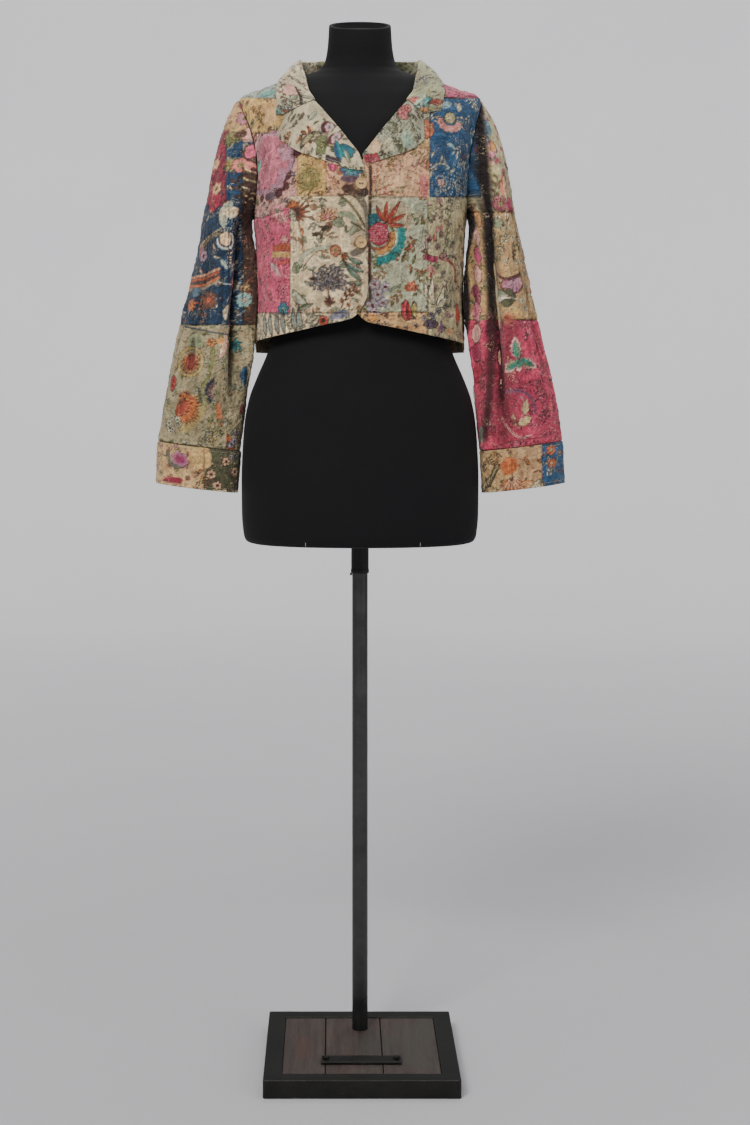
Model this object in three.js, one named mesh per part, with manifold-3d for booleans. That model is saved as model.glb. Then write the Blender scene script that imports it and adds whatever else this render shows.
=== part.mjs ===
// A cropped patchwork jacket, buttoned on a limbless dress form that turns on a pole stand.
//
// Millimetres, +Z up. The origin is where the pole's axis meets the floor. The front faces -Y, and +X is the
// wearer's left. Every cloth piece is a thin wall: a grid of points on the garment, and the same grid moved along
// its normals by the cloth's thickness.
import * as THREE from "three";
import { mergeVertices } from "three/addons/utils/BufferGeometryUtils.js";
import Module from "manifold-3d";

const wasm = await Module();
wasm.setup();

const { cos, sin, tan, abs, min, max, sqrt, sign, asin, PI } = Math;
const DEG = PI / 180;

// ---- Driving dimensions ----
const CLOTH = 1.8; // two layers of cotton, run together
const FOLDED_CLOTH = 1.5; // collar and lapels
const CUFF_CLOTH = 2.4; // the turned-back band
const SEAM = 0.3; // left between pieces that are sewn edge to edge
const LAYER = 0.8;
const SEAT = 0.25; // under a button // left between pieces that lie on each other
const BUTTON_RADIUS = 8.2;
const BUTTON_THICK = 3.2;
const BUTTON_HEIGHTS = { button_upper: 1296, button_lower: 1212 };
const BASE_SIDE = 280;
const BASE_THICK = 26;
const BASE_CENTRE_Y = -69; // the pole stands behind the middle of the base
const POLE_RADIUS = 11.8;
const SOCKET_RADIUS = 13.8;
const SOCKET_LENGTH = 47;
const FORM_BOTTOM = 765;

// The dress form, level by level: half its width, and its depth before and behind the pole's axis.
const FORM = [
  { z: 765, half: 164, front: 103, back: 103 },
  { z: 767.5, half: 172, front: 110, back: 109 },
  { z: 777, half: 176.5, front: 114, back: 113 },
  { z: 810, half: 179.5, front: 117, back: 117 },
  { z: 860, half: 180, front: 118, back: 120 },
  { z: 905, half: 178.5, front: 116.5, back: 120 },
  { z: 945, half: 175.5, front: 114, back: 118 },
  { z: 981, half: 169, front: 111, back: 114 },
  { z: 1014, half: 157, front: 105, back: 108 },
  { z: 1049, half: 142, front: 98, back: 101 },
  { z: 1090, half: 129, front: 93, back: 93 },
  { z: 1130, half: 130, front: 98, back: 92 },
  { z: 1200, half: 141, front: 112, back: 97 },
  { z: 1260, half: 150, front: 128, back: 103 },
  { z: 1300, half: 154, front: 131, back: 105 },
  { z: 1350, half: 158, front: 119, back: 106 },
  { z: 1390, half: 161, front: 104, back: 103 },
  { z: 1418, half: 160, front: 90, back: 97 },
  { z: 1437, half: 152, front: 80, back: 92 },
  { z: 1451, half: 136, front: 70, back: 85 },
  { z: 1463, half: 112, front: 61, back: 77 },
  { z: 1472, half: 86, front: 53, back: 67 },
  { z: 1482, half: 62, front: 49, back: 61 },
  { z: 1496, half: 53, front: 48, back: 55 },
  { z: 1520, half: 49, front: 49, back: 50 },
  { z: 1551, half: 47, front: 48, back: 47 },
];
const NECK_TILT = { from: 1496, to: 1551, slope: 0.31 }; // the neck is cut off slanting down to the front
const NECK_DISH = { rim: 5, deep: 9 };

// The jacket's body, level by level, at the outside of the cloth.
const JACKET = [
  { z: 1046, half: 158, front: 110, back: 119 },
  { z: 1090, half: 156, front: 115, back: 116 },
  { z: 1140, half: 155, front: 121, back: 114 },
  { z: 1200, half: 157, front: 128, back: 113 },
  { z: 1262, half: 161, front: 136, back: 114 },
  { z: 1300, half: 165, front: 138, back: 115 },
  { z: 1350, half: 172, front: 127, back: 115 },
  { z: 1390, half: 179, front: 113, back: 111 },
  { z: 1420, half: 184, front: 98, back: 105 },
  { z: 1437, half: 183, front: 86, back: 99 },
  { z: 1450, half: 152, front: 75, back: 91 },
  { z: 1462, half: 121, front: 66, back: 82 },
  { z: 1470, half: 102, front: 60, back: 75 },
  { z: 1478, half: 86, front: 54, back: 68 },
];
const NECK_Z = 1478;
const SHOULDER_Z = 1437;
const UNDERARM_Z = 1262;
const RING = { across: 0.92, deep: 0.86 }; // below 1, a section is squarer than an ellipse

// The jacket's large soft folds: each runs up the body between two heights, at an angle round it from the front.
const BODY_FOLDS = [
  { name: "side flute, right", angle: -98, lean: 0.02, low: 1030, high: 1200, width: 9, out: 9 },
  { name: "side flute, left", angle: 99, lean: -0.02, low: 1030, high: 1190, width: 8, out: 6 },
  { name: "armhole drag, right", angle: -50, lean: 0.05, low: 1290, high: 1440, width: 6, out: 4 },
  { name: "armhole drag, left", angle: 56, lean: -0.04, low: 1270, high: 1425, width: 6, out: 3.5 },
  { name: "under the bust, right", angle: -34, lean: 0.1, low: 1090, high: 1270, width: 8, out: 3 },
  { name: "under the bust, left", angle: 42, lean: -0.12, low: 1080, high: 1260, width: 8, out: 3.5 },
  { name: "back, right blade", angle: -152, lean: 0.03, low: 1040, high: 1380, width: 8, out: 5 },
  { name: "back, left blade", angle: 150, lean: -0.05, low: 1040, high: 1400, width: 9, out: 5.5 },
  { name: "back, middle", angle: 176, lean: 0.04, low: 1040, high: 1250, width: 7, out: 4 },
  { name: "back hem, right", angle: -125, lean: -0.04, low: 1030, high: 1180, width: 7, out: 5 },
  { name: "back hem, left", angle: 122, lean: 0.05, low: 1030, high: 1170, width: 7, out: 5 },
];

// The neckline's roll line and the front edge: how far from the middle, level by level, on each side.
const ROLL = [
  { z: 1333, x: 1 },
  { z: 1343, x: 6 },
  { z: 1357, x: 16 },
  { z: 1380, x: 33 },
  { z: 1392, x: 43 },
  { z: 1408, x: 56 },
  { z: 1426, x: 71 },
  { z: 1440, x: 81.5 },
  { z: 1452, x: 84.5 },
  { z: 1466, x: 85.5 },
  { z: NECK_Z, x: 86 },
];
const SIDES = {
  right: {
    hand: -1,
    lap: 10,
    hemLow: 1104,
    hemFall: 0.215,
    armholeFront: 26,
    notch: { x: 113, z: 1402 },
    collarTip: { x: 124, z: 1410 },
    lapelEdge: [
      { x: -5, z: 1314 },
      { x: 14, z: 1316 },
      { x: 56, z: 1331 },
      { x: 96, z: 1348 },
      { x: 121, z: 1371 },
      { x: 116, z: 1386 },
      { x: 112, z: 1401 },
    ],
    lapelRoot: { x: -2, z: 1320 },
  },
  left: {
    hand: 1,
    lap: 16,
    hemLow: 1098,
    hemFall: 0.2,
    armholeFront: 18,
    notch: { x: 91, z: 1402 },
    collarTip: { x: 117, z: 1407 },
    lapelEdge: [
      { x: 7, z: 1323 },
      { x: 36, z: 1333.5 },
      { x: 72, z: 1347 },
      { x: 92, z: 1366 },
      { x: 92, z: 1384 },
      { x: 90, z: 1401 },
    ],
    lapelRoot: { x: 3, z: 1335 },
  },
};
const ARMHOLE_BACK = 24;
const V_POINT = { low: 1312, high: 1333 };
const NECK_POINT_ANGLE = 84;
const EDGE_SET_BACK = 1.5; // the front's edge lies this far outside the roll line
const OVERLAP_LIFT = { full: 24, none: 66 }; // the right front rides over the left front near the middle
const HEM_CORNER = { across: 30, up: 46 };
const BACK_HEM = { middle: 1049, side: 1053 };

const GORGE = { x: 69, z: 1423 }; // where collar and lapel meet on the roll line
// The collar from the middle of the back, at 0, by the neck point, at NECK_AT, to its front end, at 1.
const NECK_AT = 0.52;
const COLLAR = [
  { at: 0, stand: 27, lean: 8, edgeX: 0, edgeZ: 1448, edgeOut: 5 },
  { at: 0.18, stand: 26, lean: 9, edgeX: 58, edgeZ: 1449, edgeOut: 5 },
  { at: 0.36, stand: 21.5, lean: 11, edgeX: 103, edgeZ: 1454, edgeOut: 4 },
  { at: 0.46, stand: 18, lean: 12, edgeX: 116, edgeZ: 1459, edgeOut: 3.6 },
  { at: NECK_AT, stand: 16, lean: 12, edgeX: 120, edgeZ: 1461.5, edgeOut: 3 },
  { at: 0.64, stand: 11, lean: 12, edgeX: 123, edgeZ: 1451, edgeOut: 1.4 },
  { at: 0.78, stand: 5.5, lean: 12, edgeX: 124, edgeZ: 1437, edgeOut: 1 },
  { at: 0.9, stand: 2, lean: 12, edgeX: 122, edgeZ: 1423, edgeOut: LAYER },
  { at: 1, stand: 0.6, lean: 12, edgeX: 120, edgeZ: 1409, edgeOut: LAYER },
];
const COLLAR_FOLD_RADIUS = 0.9; // inside the fold

// A sleeve, level by level below the armhole: its inner and outer side from the middle, its depth each way, the
// middle of that depth, and how far its opening tilts towards the body.
const SLEEVE = [
  { z: 1236, inner: 167, outer: 240, deep: 66, y: -2, tilt: 1 },
  { z: 1190, inner: 166, outer: 249, deep: 59, y: -5, tilt: 2 },
  { z: 1130, inner: 168, outer: 261, deep: 51, y: -8, tilt: 3 },
  { z: 1060, inner: 170, outer: 277, deep: 44, y: -11, tilt: 5 },
  { z: 990, inner: 174, outer: 292, deep: 39, y: -14, tilt: 6 },
  { z: 912, inner: 181, outer: 305, deep: 36, y: -17, tilt: 7 },
  { z: 846, inner: 185, outer: 308, deep: 35, y: -19, tilt: 7 },
];
const CUFF_TOP = 912;
const CUFF_BOTTOM = 849;
// Folds along the sleeves: angle round the sleeve from its outer side by the front, a drift down its length, and
// its place, width and depth, in along the sleeve from 0 at the armhole to 1 at the cuff.
const SLEEVE_FOLDS = {
  right: [
    { name: "long ridge", angle: 52, drift: -14, from: 0.08, to: 0.95, width: 15, out: 5 },
    { name: "outer hollow", angle: 18, drift: -8, from: 0.15, to: 0.9, width: 17, out: -6 },
    { name: "inner hollow", angle: 128, drift: 12, from: 0.05, to: 0.7, width: 16, out: -8 },
    { name: "elbow", angle: 86, drift: 30, from: 0.5, to: 0.85, width: 12, out: 4 },
    { name: "back ridge", angle: 285, drift: -18, from: 0.1, to: 0.9, width: 16, out: 5 },
    { name: "back hollow", angle: 240, drift: 10, from: 0.15, to: 0.85, width: 17, out: -7 },
  ],
  left: [
    { name: "deep hollow", angle: 118, drift: 8, from: 0.04, to: 0.98, width: 15, out: -14 },
    { name: "inner roll", angle: 152, drift: 4, from: 0.1, to: 0.95, width: 14, out: 4 },
    { name: "long ridge", angle: 72, drift: -10, from: 0.1, to: 0.9, width: 16, out: 4 },
    { name: "outer hollow", angle: 28, drift: -6, from: 0.25, to: 0.8, width: 15, out: -4 },
    { name: "back ridge", angle: 290, drift: 14, from: 0.12, to: 0.92, width: 16, out: 5 },
    { name: "back hollow", angle: 244, drift: -12, from: 0.1, to: 0.8, width: 16, out: -7 },
  ],
};

// How finely each piece is divided.
const GRID = {
  ring: 28,
  frontAcross: 11,
  backAcross: 22,
  belowArm: 8,
  armhole: 12,
  aboveArm: 5,
  cap: 6,
  sleeveDown: 12,
  cuffDown: 2,
  collarHalf: 13,
  lapelAlong: 9,
  lapelAcross: 7,
};

// ---- Numbers ----

// A smooth curve through one column of a table, with no overshoot between its rows.
function column(rows, key, name) {
  const x = rows.map((r) => r[key]);
  const y = rows.map((r) => r[name]);
  const step = x.slice(1).map((v, i) => (y[i + 1] - y[i]) / (v - x[i]));
  const slope = y.map((_, i) => {
    if (i === 0) return step[0];
    if (i === y.length - 1) return step[i - 1];
    const [a, b] = [step[i - 1], step[i]];
    return a * b <= 0 ? 0 : (2 * a * b) / (a + b);
  });
  return (at) => {
    const t = min(max(at, x[0]), x[x.length - 1]);
    let i = 0;
    while (i < x.length - 2 && t > x[i + 1]) i++;
    const h = x[i + 1] - x[i];
    const u = (t - x[i]) / h;
    return (
      y[i] * (1 + 2 * u) * (1 - u) ** 2 +
      y[i + 1] * u * u * (3 - 2 * u) +
      h * slope[i] * u * (1 - u) ** 2 -
      h * slope[i + 1] * u * u * (1 - u)
    );
  };
}

// Every column of a table as a curve.
function curves(rows, key) {
  const names = Object.keys(rows[0]).filter((n) => n !== key);
  return Object.fromEntries(names.map((n) => [n, column(rows, key, n)]));
}

const lerp = (a, b, t) => a + (b - a) * t;
const ease = (a, b, t) => {
  const u = min(max((t - a) / (b - a), 0), 1);
  return u * u * (3 - 2 * u);
};
const swell = (t, from, to) => (t <= from || t >= to ? 0 : sin(((t - from) / (to - from)) * PI) ** 2);
const bell = (x, width) => Math.exp(-((x / width) ** 2));
const turn = (degrees) => ((((degrees + 180) % 360) + 360) % 360) - 180;
const along = (n, make) => Array.from({ length: n + 1 }, (_, i) => make(i / n, i));

// ---- Surfaces ----

const form = curves(FORM, "z");
const jacket = curves(JACKET, "z");
const roll = column(ROLL, "z", "x");
const collarAt = curves(COLLAR, "at");
const sleeveAt = curves([...SLEEVE].reverse(), "z");

// A point of the section with these half width and depths, at an angle from the front.
function sectionPoint(half, front, back, angle, z) {
  const s = sin(angle);
  const c = cos(angle);
  const depth = c >= 0 ? front : back;
  const x = half * sign(s) * abs(s) ** RING.across;
  return new THREE.Vector3(x, -depth * sign(c) * abs(c) ** RING.deep, z);
}

// The angle at which the jacket's front stands this far from the middle.
function angleAt(x, z) {
  return sign(x) * asin(min(abs(x) / jacket.half(z), 1) ** (1 / RING.across));
}

function foldOut(angle, z) {
  let out = 0;
  for (const f of BODY_FOLDS) {
    const centre = f.angle + f.lean * (z - f.low);
    out += f.out * bell(turn(angle / DEG - centre), f.width) * swell(z, f.low, f.high);
  }
  return out;
}

// The outside of the jacket's body, and its outward normal.
function bodyPoint(angle, z) {
  const p = sectionPoint(jacket.half(z), jacket.front(z), jacket.back(z), angle, z);
  const level = sectionPoint(1, 1, 1, angle, 0).normalize();
  return p.addScaledVector(level, foldOut(angle, z));
}

function bodyNormal(angle, z) {
  const across = bodyPoint(angle + 0.02, z).sub(bodyPoint(angle - 0.02, z));
  const up = bodyPoint(angle, min(z + 1, NECK_Z)).sub(bodyPoint(angle, z - 1));
  return across.cross(up).normalize();
}

// How far the right front rides over the left one.
function overlapLift(side, angle, z) {
  if (side.hand > 0) return 0;
  const x = bodyPoint(angle, z).x;
  const near = 1 - ease(OVERLAP_LIFT.full, OVERLAP_LIFT.none, -x);
  return (CLOTH + LAYER) * near * (1 - ease(V_POINT.high, V_POINT.high + 24, z));
}

function frontPoint(side, angle, z, out = 0) {
  const lift = overlapLift(side, angle, z);
  return bodyPoint(angle, z).addScaledVector(bodyNormal(angle, z), lift + out);
}

// The armhole is an oval round the side: turn 0 is the shoulder point, a quarter turn the front.
function armhole(side, t) {
  const middle = (SHOULDER_Z + UNDERARM_Z) / 2;
  const z = middle + ((SHOULDER_Z - UNDERARM_Z) / 2) * cos(t);
  const reach = sin(t) >= 0 ? side.armholeFront : ARMHOLE_BACK;
  return { angle: side.hand * (90 - reach * sin(t)) * DEG, z };
}

// ---- Sleeves ----

const sleeveLength = SLEEVE[0].z - CUFF_TOP;

function sleeveFold(name, t, at) {
  let out = 0;
  for (const f of SLEEVE_FOLDS[name]) {
    const centre = f.angle + f.drift * at;
    out += f.out * bell(turn(t / DEG - centre), f.width) * swell(at, f.from, f.to);
  }
  return out;
}

// A point on the sleeve's tube, below the cap, at a height of its middle.
function tubePoint(name, t, z, out = 0) {
  const side = SIDES[name];
  const middle = (sleeveAt.inner(z) + sleeveAt.outer(z)) / 2;
  const at = (SLEEVE[0].z - z) / sleeveLength;
  const soft = out + sleeveFold(name, t, min(at * 0.8 + 0.2, 1));
  const reach = (sleeveAt.outer(z) - sleeveAt.inner(z)) / 2 + soft;
  const x = reach * cos(t);
  const lean = x * tan(sleeveAt.tilt(z) * DEG);
  return new THREE.Vector3(
    side.hand * (middle + x),
    sleeveAt.y(z) - (sleeveAt.deep(z) + soft) * sin(t),
    z + lean,
  );
}

// The cap carries the armhole's oval over into the tube's first ring.
function capPoint(name, t, at) {
  const side = SIDES[name];
  const hole = armhole(side, t);
  const start = bodyPoint(hole.angle, hole.z);
  const end = tubePoint(name, t, SLEEVE[0].z);
  const below = tubePoint(name, t, SLEEVE[0].z - 10);
  const top = max(cos(t), 0);
  const outward = new THREE.Vector3(
    side.hand * (0.6 + 0.1 * top),
    -0.28 * sin(t),
    -0.75,
  ).normalize();
  const reach = start.distanceTo(end);
  const leave = outward.multiplyScalar(reach * lerp(0.7, 0.8, top));
  const arrive = below.sub(end).normalize().multiplyScalar(reach * 0.95);
  const u = at;
  return start
    .multiplyScalar((1 + 2 * u) * (1 - u) ** 2)
    .addScaledVector(end, u * u * (3 - 2 * u))
    .addScaledVector(leave, u * (1 - u) ** 2)
    .addScaledVector(arrive, -u * u * (1 - u));
}

function capNormal(name, t, at) {
  const round = capPoint(name, t + 0.03, at).sub(capPoint(name, t - 0.03, at));
  const down = capPoint(name, t, at + 0.02).sub(capPoint(name, t, max(at - 0.02, 0)));
  return round.cross(down).multiplyScalar(SIDES[name].hand).normalize();
}

// Where the sleeve meets the body, both walls are cut along the line that halves the angle between them.
function armholeMitre(name, t) {
  const hole = armhole(SIDES[name], t);
  const body = bodyNormal(hole.angle, hole.z);
  const sleeve = capNormal(name, t, 0.02);
  const both = 1 + max(body.dot(sleeve), -0.3);
  return body.add(sleeve).divideScalar(both);
}

// ---- Walls ----

// A closed mesh from a grid of points and the same grid moved along the given vectors. A ring closes on itself.
function wall(points, vectors, from, to, ring = false) {
  const rows = points.length;
  const columns = points[0].length;
  const position = [];
  for (const offset of [to, from]) {
    points.forEach((row, j) =>
      row.forEach((p, i) => position.push(...p.clone().addScaledVector(vectors[j][i], offset).toArray())),
    );
  }
  const index = [];
  const at = (side, j, i) => (side * rows + j) * columns + (i % columns);
  const quad = (a, b, c, d) => index.push(a, b, c, a, c, d);
  const across = ring ? columns : columns - 1;
  for (let j = 0; j < rows - 1; j++) {
    for (let i = 0; i < across; i++) {
      quad(at(0, j, i), at(0, j, i + 1), at(0, j + 1, i + 1), at(0, j + 1, i));
      quad(at(1, j, i), at(1, j + 1, i), at(1, j + 1, i + 1), at(1, j, i + 1));
    }
  }
  for (let i = 0; i < across; i++) {
    quad(at(0, 0, i), at(1, 0, i), at(1, 0, i + 1), at(0, 0, i + 1));
    quad(at(0, rows - 1, i), at(0, rows - 1, i + 1), at(1, rows - 1, i + 1), at(1, rows - 1, i));
  }
  for (let j = 0; !ring && j < rows - 1; j++) {
    quad(at(0, j, 0), at(0, j + 1, 0), at(1, j + 1, 0), at(1, j, 0));
    quad(at(0, j, columns - 1), at(1, j, columns - 1), at(1, j + 1, columns - 1), at(0, j + 1, columns - 1));
  }
  return facingOut(position, index);
}

function facingOut(position, index) {
  let volume = 0;
  const p = (i) => new THREE.Vector3().fromArray(position, 3 * i);
  for (let i = 0; i < index.length; i += 3) {
    volume += p(index[i]).dot(p(index[i + 1]).cross(p(index[i + 2])));
  }
  if (volume < 0) index.reverse();
  const geometry = new THREE.BufferGeometry();
  geometry.setAttribute("position", new THREE.Float32BufferAttribute(position, 3));
  geometry.setIndex(index);
  return geometry;
}

// Normals of a grid from its neighbours, on the side that `outward` says.
function gridNormals(points, outward, ring = false) {
  const rows = points.length;
  const columns = points[0].length;
  return points.map((row, j) =>
    row.map((_, i) => {
      const left = ring ? (i + columns - 1) % columns : max(i - 1, 0);
      const right = ring ? (i + 1) % columns : min(i + 1, columns - 1);
      const across = row[right].clone().sub(row[left]);
      const down = points[min(j + 1, rows - 1)][i].clone().sub(points[max(j - 1, 0)][i]);
      return across.cross(down).normalize().multiplyScalar(outward);
    }),
  );
}

// ---- Jacket pieces ----

// The levels of a body panel: from the hem to the underarm, round the armhole, and up the shoulder.
function panelLevels() {
  const below = along(GRID.belowArm, (t) => ({ below: t, z: UNDERARM_Z }));
  const round = along(GRID.armhole, (t) => ({ turn: PI * (1 - t) })).slice(1);
  const above = along(GRID.aboveArm, (t) => ({ z: lerp(SHOULDER_Z, NECK_Z, 1 - (1 - t) ** 1.6) })).slice(1);
  return [...below, ...round, ...above];
}

function frontEdgeX(side, z) {
  const lap = -side.lap;
  if (z >= V_POINT.high) return roll(z) + EDGE_SET_BACK;
  return lerp(lap, roll(V_POINT.high) + EDGE_SET_BACK, ease(V_POINT.low, V_POINT.high, z) ** 1.6);
}

function frontHem(side, x) {
  const fromEdge = x + side.lap;
  const level = side.hemLow - side.hemFall * max(x, 0);
  const inCorner = max(1 - fromEdge / HEM_CORNER.across, 0);
  return level + HEM_CORNER.up * (1 - sqrt(1 - min(inCorner, 1) ** 2));
}

function frontPanel(name) {
  const side = SIDES[name];
  const points = [];
  const vectors = [];
  for (const level of panelLevels()) {
    const row = [];
    const out = [];
    along(GRID.frontAcross, (u) => {
      const hole = level.turn === undefined ? null : armhole(side, level.turn);
      const z0 = hole ? hole.z : level.z;
      const edgeAt = level.below === undefined ? z0 : lerp(side.hemLow + HEM_CORNER.up, UNDERARM_Z, level.below);
      const inner = min(angleAt(frontEdgeX(side, edgeAt), edgeAt), NECK_POINT_ANGLE * DEG);
      const seam = SEAM / 2 / jacket.front(z0);
      const outer = hole ? side.hand * hole.angle : 90 * DEG;
      const gap = hole && abs(sin(level.turn)) > 0.01 ? 0 : seam;
      const spread = u ** 1.15;
      const angle = lerp(inner, outer - gap, spread);
      let z = z0;
      if (level.below !== undefined) {
        const low = frontHem(side, side.hand * bodyPoint(side.hand * angle, side.hemLow).x);
        z = lerp(low, UNDERARM_Z, level.below);
      }
      row.push(frontPoint(side, side.hand * angle, z));
      const mitred = hole && u === 1 && abs(sin(level.turn)) > 0.01;
      out.push(mitred ? armholeMitre(name, level.turn) : bodyNormal(side.hand * angle, z));
    });
    points.push(row);
    vectors.push(out);
  }
  return wall(points, vectors, -CLOTH, 0);
}

function backPanel() {
  const points = [];
  const vectors = [];
  for (const level of panelLevels()) {
    const row = [];
    const out = [];
    along(GRID.backAcross, (u) => {
      const left = u <= 0.5;
      const name = left ? "left" : "right";
      const hole = level.turn === undefined ? null : armhole(SIDES[name], -level.turn);
      const z0 = hole ? hole.z : level.z;
      const gap = hole && abs(sin(level.turn)) > 0.01 ? 0 : SEAM / 2 / jacket.back(z0);
      const start = hole ? abs(hole.angle) : 90 * DEG;
      const angle = lerp(start + gap, 2 * PI - start - gap, u);
      const hem = lerp(BACK_HEM.middle, BACK_HEM.side, abs(cos(angle / 2) * 2 * sin(angle / 2)));
      const z = level.below === undefined ? z0 : lerp(hem, UNDERARM_Z, level.below);
      row.push(bodyPoint(angle, z));
      const atHole = hole && abs(sin(level.turn)) > 0.01 && (u === 0 || u === 1);
      out.push(atHole ? armholeMitre(name, -level.turn) : bodyNormal(angle, z));
    });
    points.push(row);
    vectors.push(out);
  }
  return wall(points, vectors, -CLOTH, 0);
}

function sleeve(name) {
  const around = 2 * GRID.armhole;
  const turns = along(around, (u) => 2 * PI * u).slice(0, around);
  const startShift = 0.85;
  const cap = along(GRID.cap, (u) => {
    return turns.map((t) => {
      const p = capPoint(name, t, u);
      if (u > 0) return p;
      const away = capPoint(name, t, 0.03).sub(p).normalize();
      return p.addScaledVector(away, startShift);
    });
  });
  const tube = along(GRID.sleeveDown, (u) => {
    const z = lerp(SLEEVE[0].z, CUFF_TOP + SEAM, u);
    return turns.map((t) => tubePoint(name, t, z));
  }).slice(1);
  const points = [...cap, ...tube];
  const vectors = gridNormals(points, SIDES[name].hand, true);
  vectors[0] = turns.map((t) => armholeMitre(name, t));
  return wall(points, vectors, -CLOTH, 0, true);
}

function cuff(name) {
  const around = 2 * GRID.armhole;
  const turns = along(around, (u) => 2 * PI * u).slice(0, around);
  const points = along(GRID.cuffDown, (u) => {
    return turns.map((t) => tubePoint(name, t, lerp(CUFF_TOP - SEAM, CUFF_BOTTOM, u)));
  });
  const vectors = gridNormals(points, SIDES[name].hand, true);
  return wall(points, vectors, -CLOTH, CUFF_CLOTH - CLOTH, true);
}

// A point of the front given by its distance from the middle and its height, lifted off the cloth.
function onFront(side, x, z, out) {
  return frontPoint(side, side.hand * angleAt(x, z), z, out);
}

function lapel(name) {
  const side = SIDES[name];
  const last = side.lapelEdge.length - 1;
  const edge = curves(
    side.lapelEdge.map((p, i) => ({ i, ...p })),
    "i",
  );
  const points = along(GRID.lapelAlong, (v) => {
    const z = lerp(side.lapelRoot.z, GORGE.z - 0.8, v);
    const inner = { x: lerp(side.lapelRoot.x, roll(z), ease(0, 0.15, v)), z };
    const outer = { x: edge.x(v * last), z: edge.z(v * last) };
    return along(GRID.lapelAcross, (u) => {
      const puff = 0.3 + 1.8 * sin(PI * min(u * 1.2, 1));
      return onFront(side, lerp(inner.x, outer.x, u), lerp(inner.z, outer.z, u), LAYER + puff);
    });
  });
  return wall(points, gridNormals(points, side.hand), 0, FOLDED_CLOTH);
}

// Where the collar is sewn on, which way its stand rises there, and which way is away from the neck.
function collarSeam(at, hand) {
  const d = collarAt;
  const up = new THREE.Vector3(0, 0, 1);
  if (at <= NECK_AT) {
    const angle = hand * lerp(PI, PI / 2, at / NECK_AT);
    const seam = bodyPoint(angle, NECK_Z);
    const away = new THREE.Vector3(seam.x, seam.y * 1.2, 0).normalize();
    const rise = up.clone().multiplyScalar(cos(d.lean(at) * DEG)).addScaledVector(away, sin(d.lean(at) * DEG));
    return { seam, rise, away };
  }
  const side = hand > 0 ? SIDES.left : SIDES.right;
  const t = (at - NECK_AT) / (1 - NECK_AT);
  const z = lerp(NECK_Z, GORGE.z, t);
  const edge = (h) => onFront(side, roll(h) + EDGE_SET_BACK * ease(0, 0.3, t), h, 0);
  const seam = edge(z);
  const run = edge(min(z + 2, NECK_Z)).sub(edge(z - 2)).normalize();
  const normal = bodyNormal(hand * angleAt(roll(z), z), z);
  const inward = run.clone().cross(normal).multiplyScalar(hand).normalize();
  if (inward.x * hand > 0) inward.negate();
  const level = new THREE.Vector3(seam.x, 0, 0).normalize();
  const lean = d.lean(NECK_AT) * DEG;
  const upright = up.clone().multiplyScalar(cos(lean)).addScaledVector(level, sin(lean));
  const rise = upright.lerp(inward, ease(0, 1, t)).normalize();
  const away = level.lerp(normal, ease(0, 0.8, t)).normalize();
  return { seam, rise, away };
}

// One section of the collar: up the stand, round the fold and down the leaf.
function collarSection(at, hand) {
  const side = hand > 0 ? SIDES.left : SIDES.right;
  const { seam, rise, away } = collarSeam(at, hand);
  const out = away.clone().addScaledVector(rise, -away.dot(rise)).normalize();
  const stand = collarAt.stand(at);
  const r = COLLAR_FOLD_RADIUS;
  const foot = seam.clone().addScaledVector(rise, lerp(2.2, LAYER, min(abs(at - NECK_AT - 0.02) / 0.12, 1)));
  const section = along(2, (u) => foot.clone().addScaledVector(rise, stand * u));
  const centre = foot.clone().addScaledVector(rise, stand).addScaledVector(out, r);
  along(4, (u) => {
    if (u === 0) return;
    const a = PI * u;
    section.push(centre.clone().addScaledVector(out, -r * cos(a)).addScaledVector(rise, r * sin(a)));
  });
  const start = section[section.length - 1];
  const edge = { x: collarAt.edgeX(at), z: collarAt.edgeZ(at), out: collarAt.edgeOut(at) };
  const toTip = ease(0.75, 1, at);
  edge.x = lerp(edge.x, side.collarTip.x, toTip);
  edge.z = lerp(edge.z, side.collarTip.z, toTip);
  const behind = at < NECK_AT;
  let angle = angleAt(edge.x, edge.z);
  if (behind) angle = PI - angle;
  angle *= hand;
  const end = bodyPoint(angle, edge.z).addScaledVector(bodyNormal(angle, edge.z), edge.out);
  const laid = ease(0.7, 0.92, at);
  const rollX = roll(lerp(NECK_Z, GORGE.z, (at - NECK_AT) / (1 - NECK_AT)));
  const rollZ = lerp(NECK_Z, GORGE.z, (at - NECK_AT) / (1 - NECK_AT));
  along(5, (u) => {
    if (u === 0) return;
    const droop = 0.3 * start.distanceTo(end);
    const free = start
      .clone()
      .lerp(end, u)
      .addScaledVector(out, droop * sin(PI * u) * 0.16)
      .addScaledVector(rise, droop * sin(PI * u) * 0.12);
    if (laid > 0) {
      const atNotch = (side.notch.x - rollX) / (edge.x - rollX);
      const straight = lerp(rollZ, edge.z, atNotch);
      const dip = (straight - side.notch.z) * max(1 - abs(u - atNotch) / atNotch, 0) * ease(0.93, 1, at);
      const x = lerp(rollX, edge.x, u);
      const z = lerp(rollZ, edge.z, u) - dip;
      free.lerp(onFront(side, x, z, LAYER + 1.6 * (1 - u) + 1.2 * sin(PI * u)), laid);
    }
    section.push(free);
  });
  return section;
}

function collar() {
  const half = along(GRID.collarHalf, (u) => u);
  const right = half.slice(1).reverse().map((at) => collarSection(at, -1));
  const left = half.map((at) => collarSection(at, 1));
  const points = [...right, ...left];
  return wall(points, gridNormals(points, -1), 0, FOLDED_CLOTH);
}

// ---- Solids that are cut ----

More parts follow.
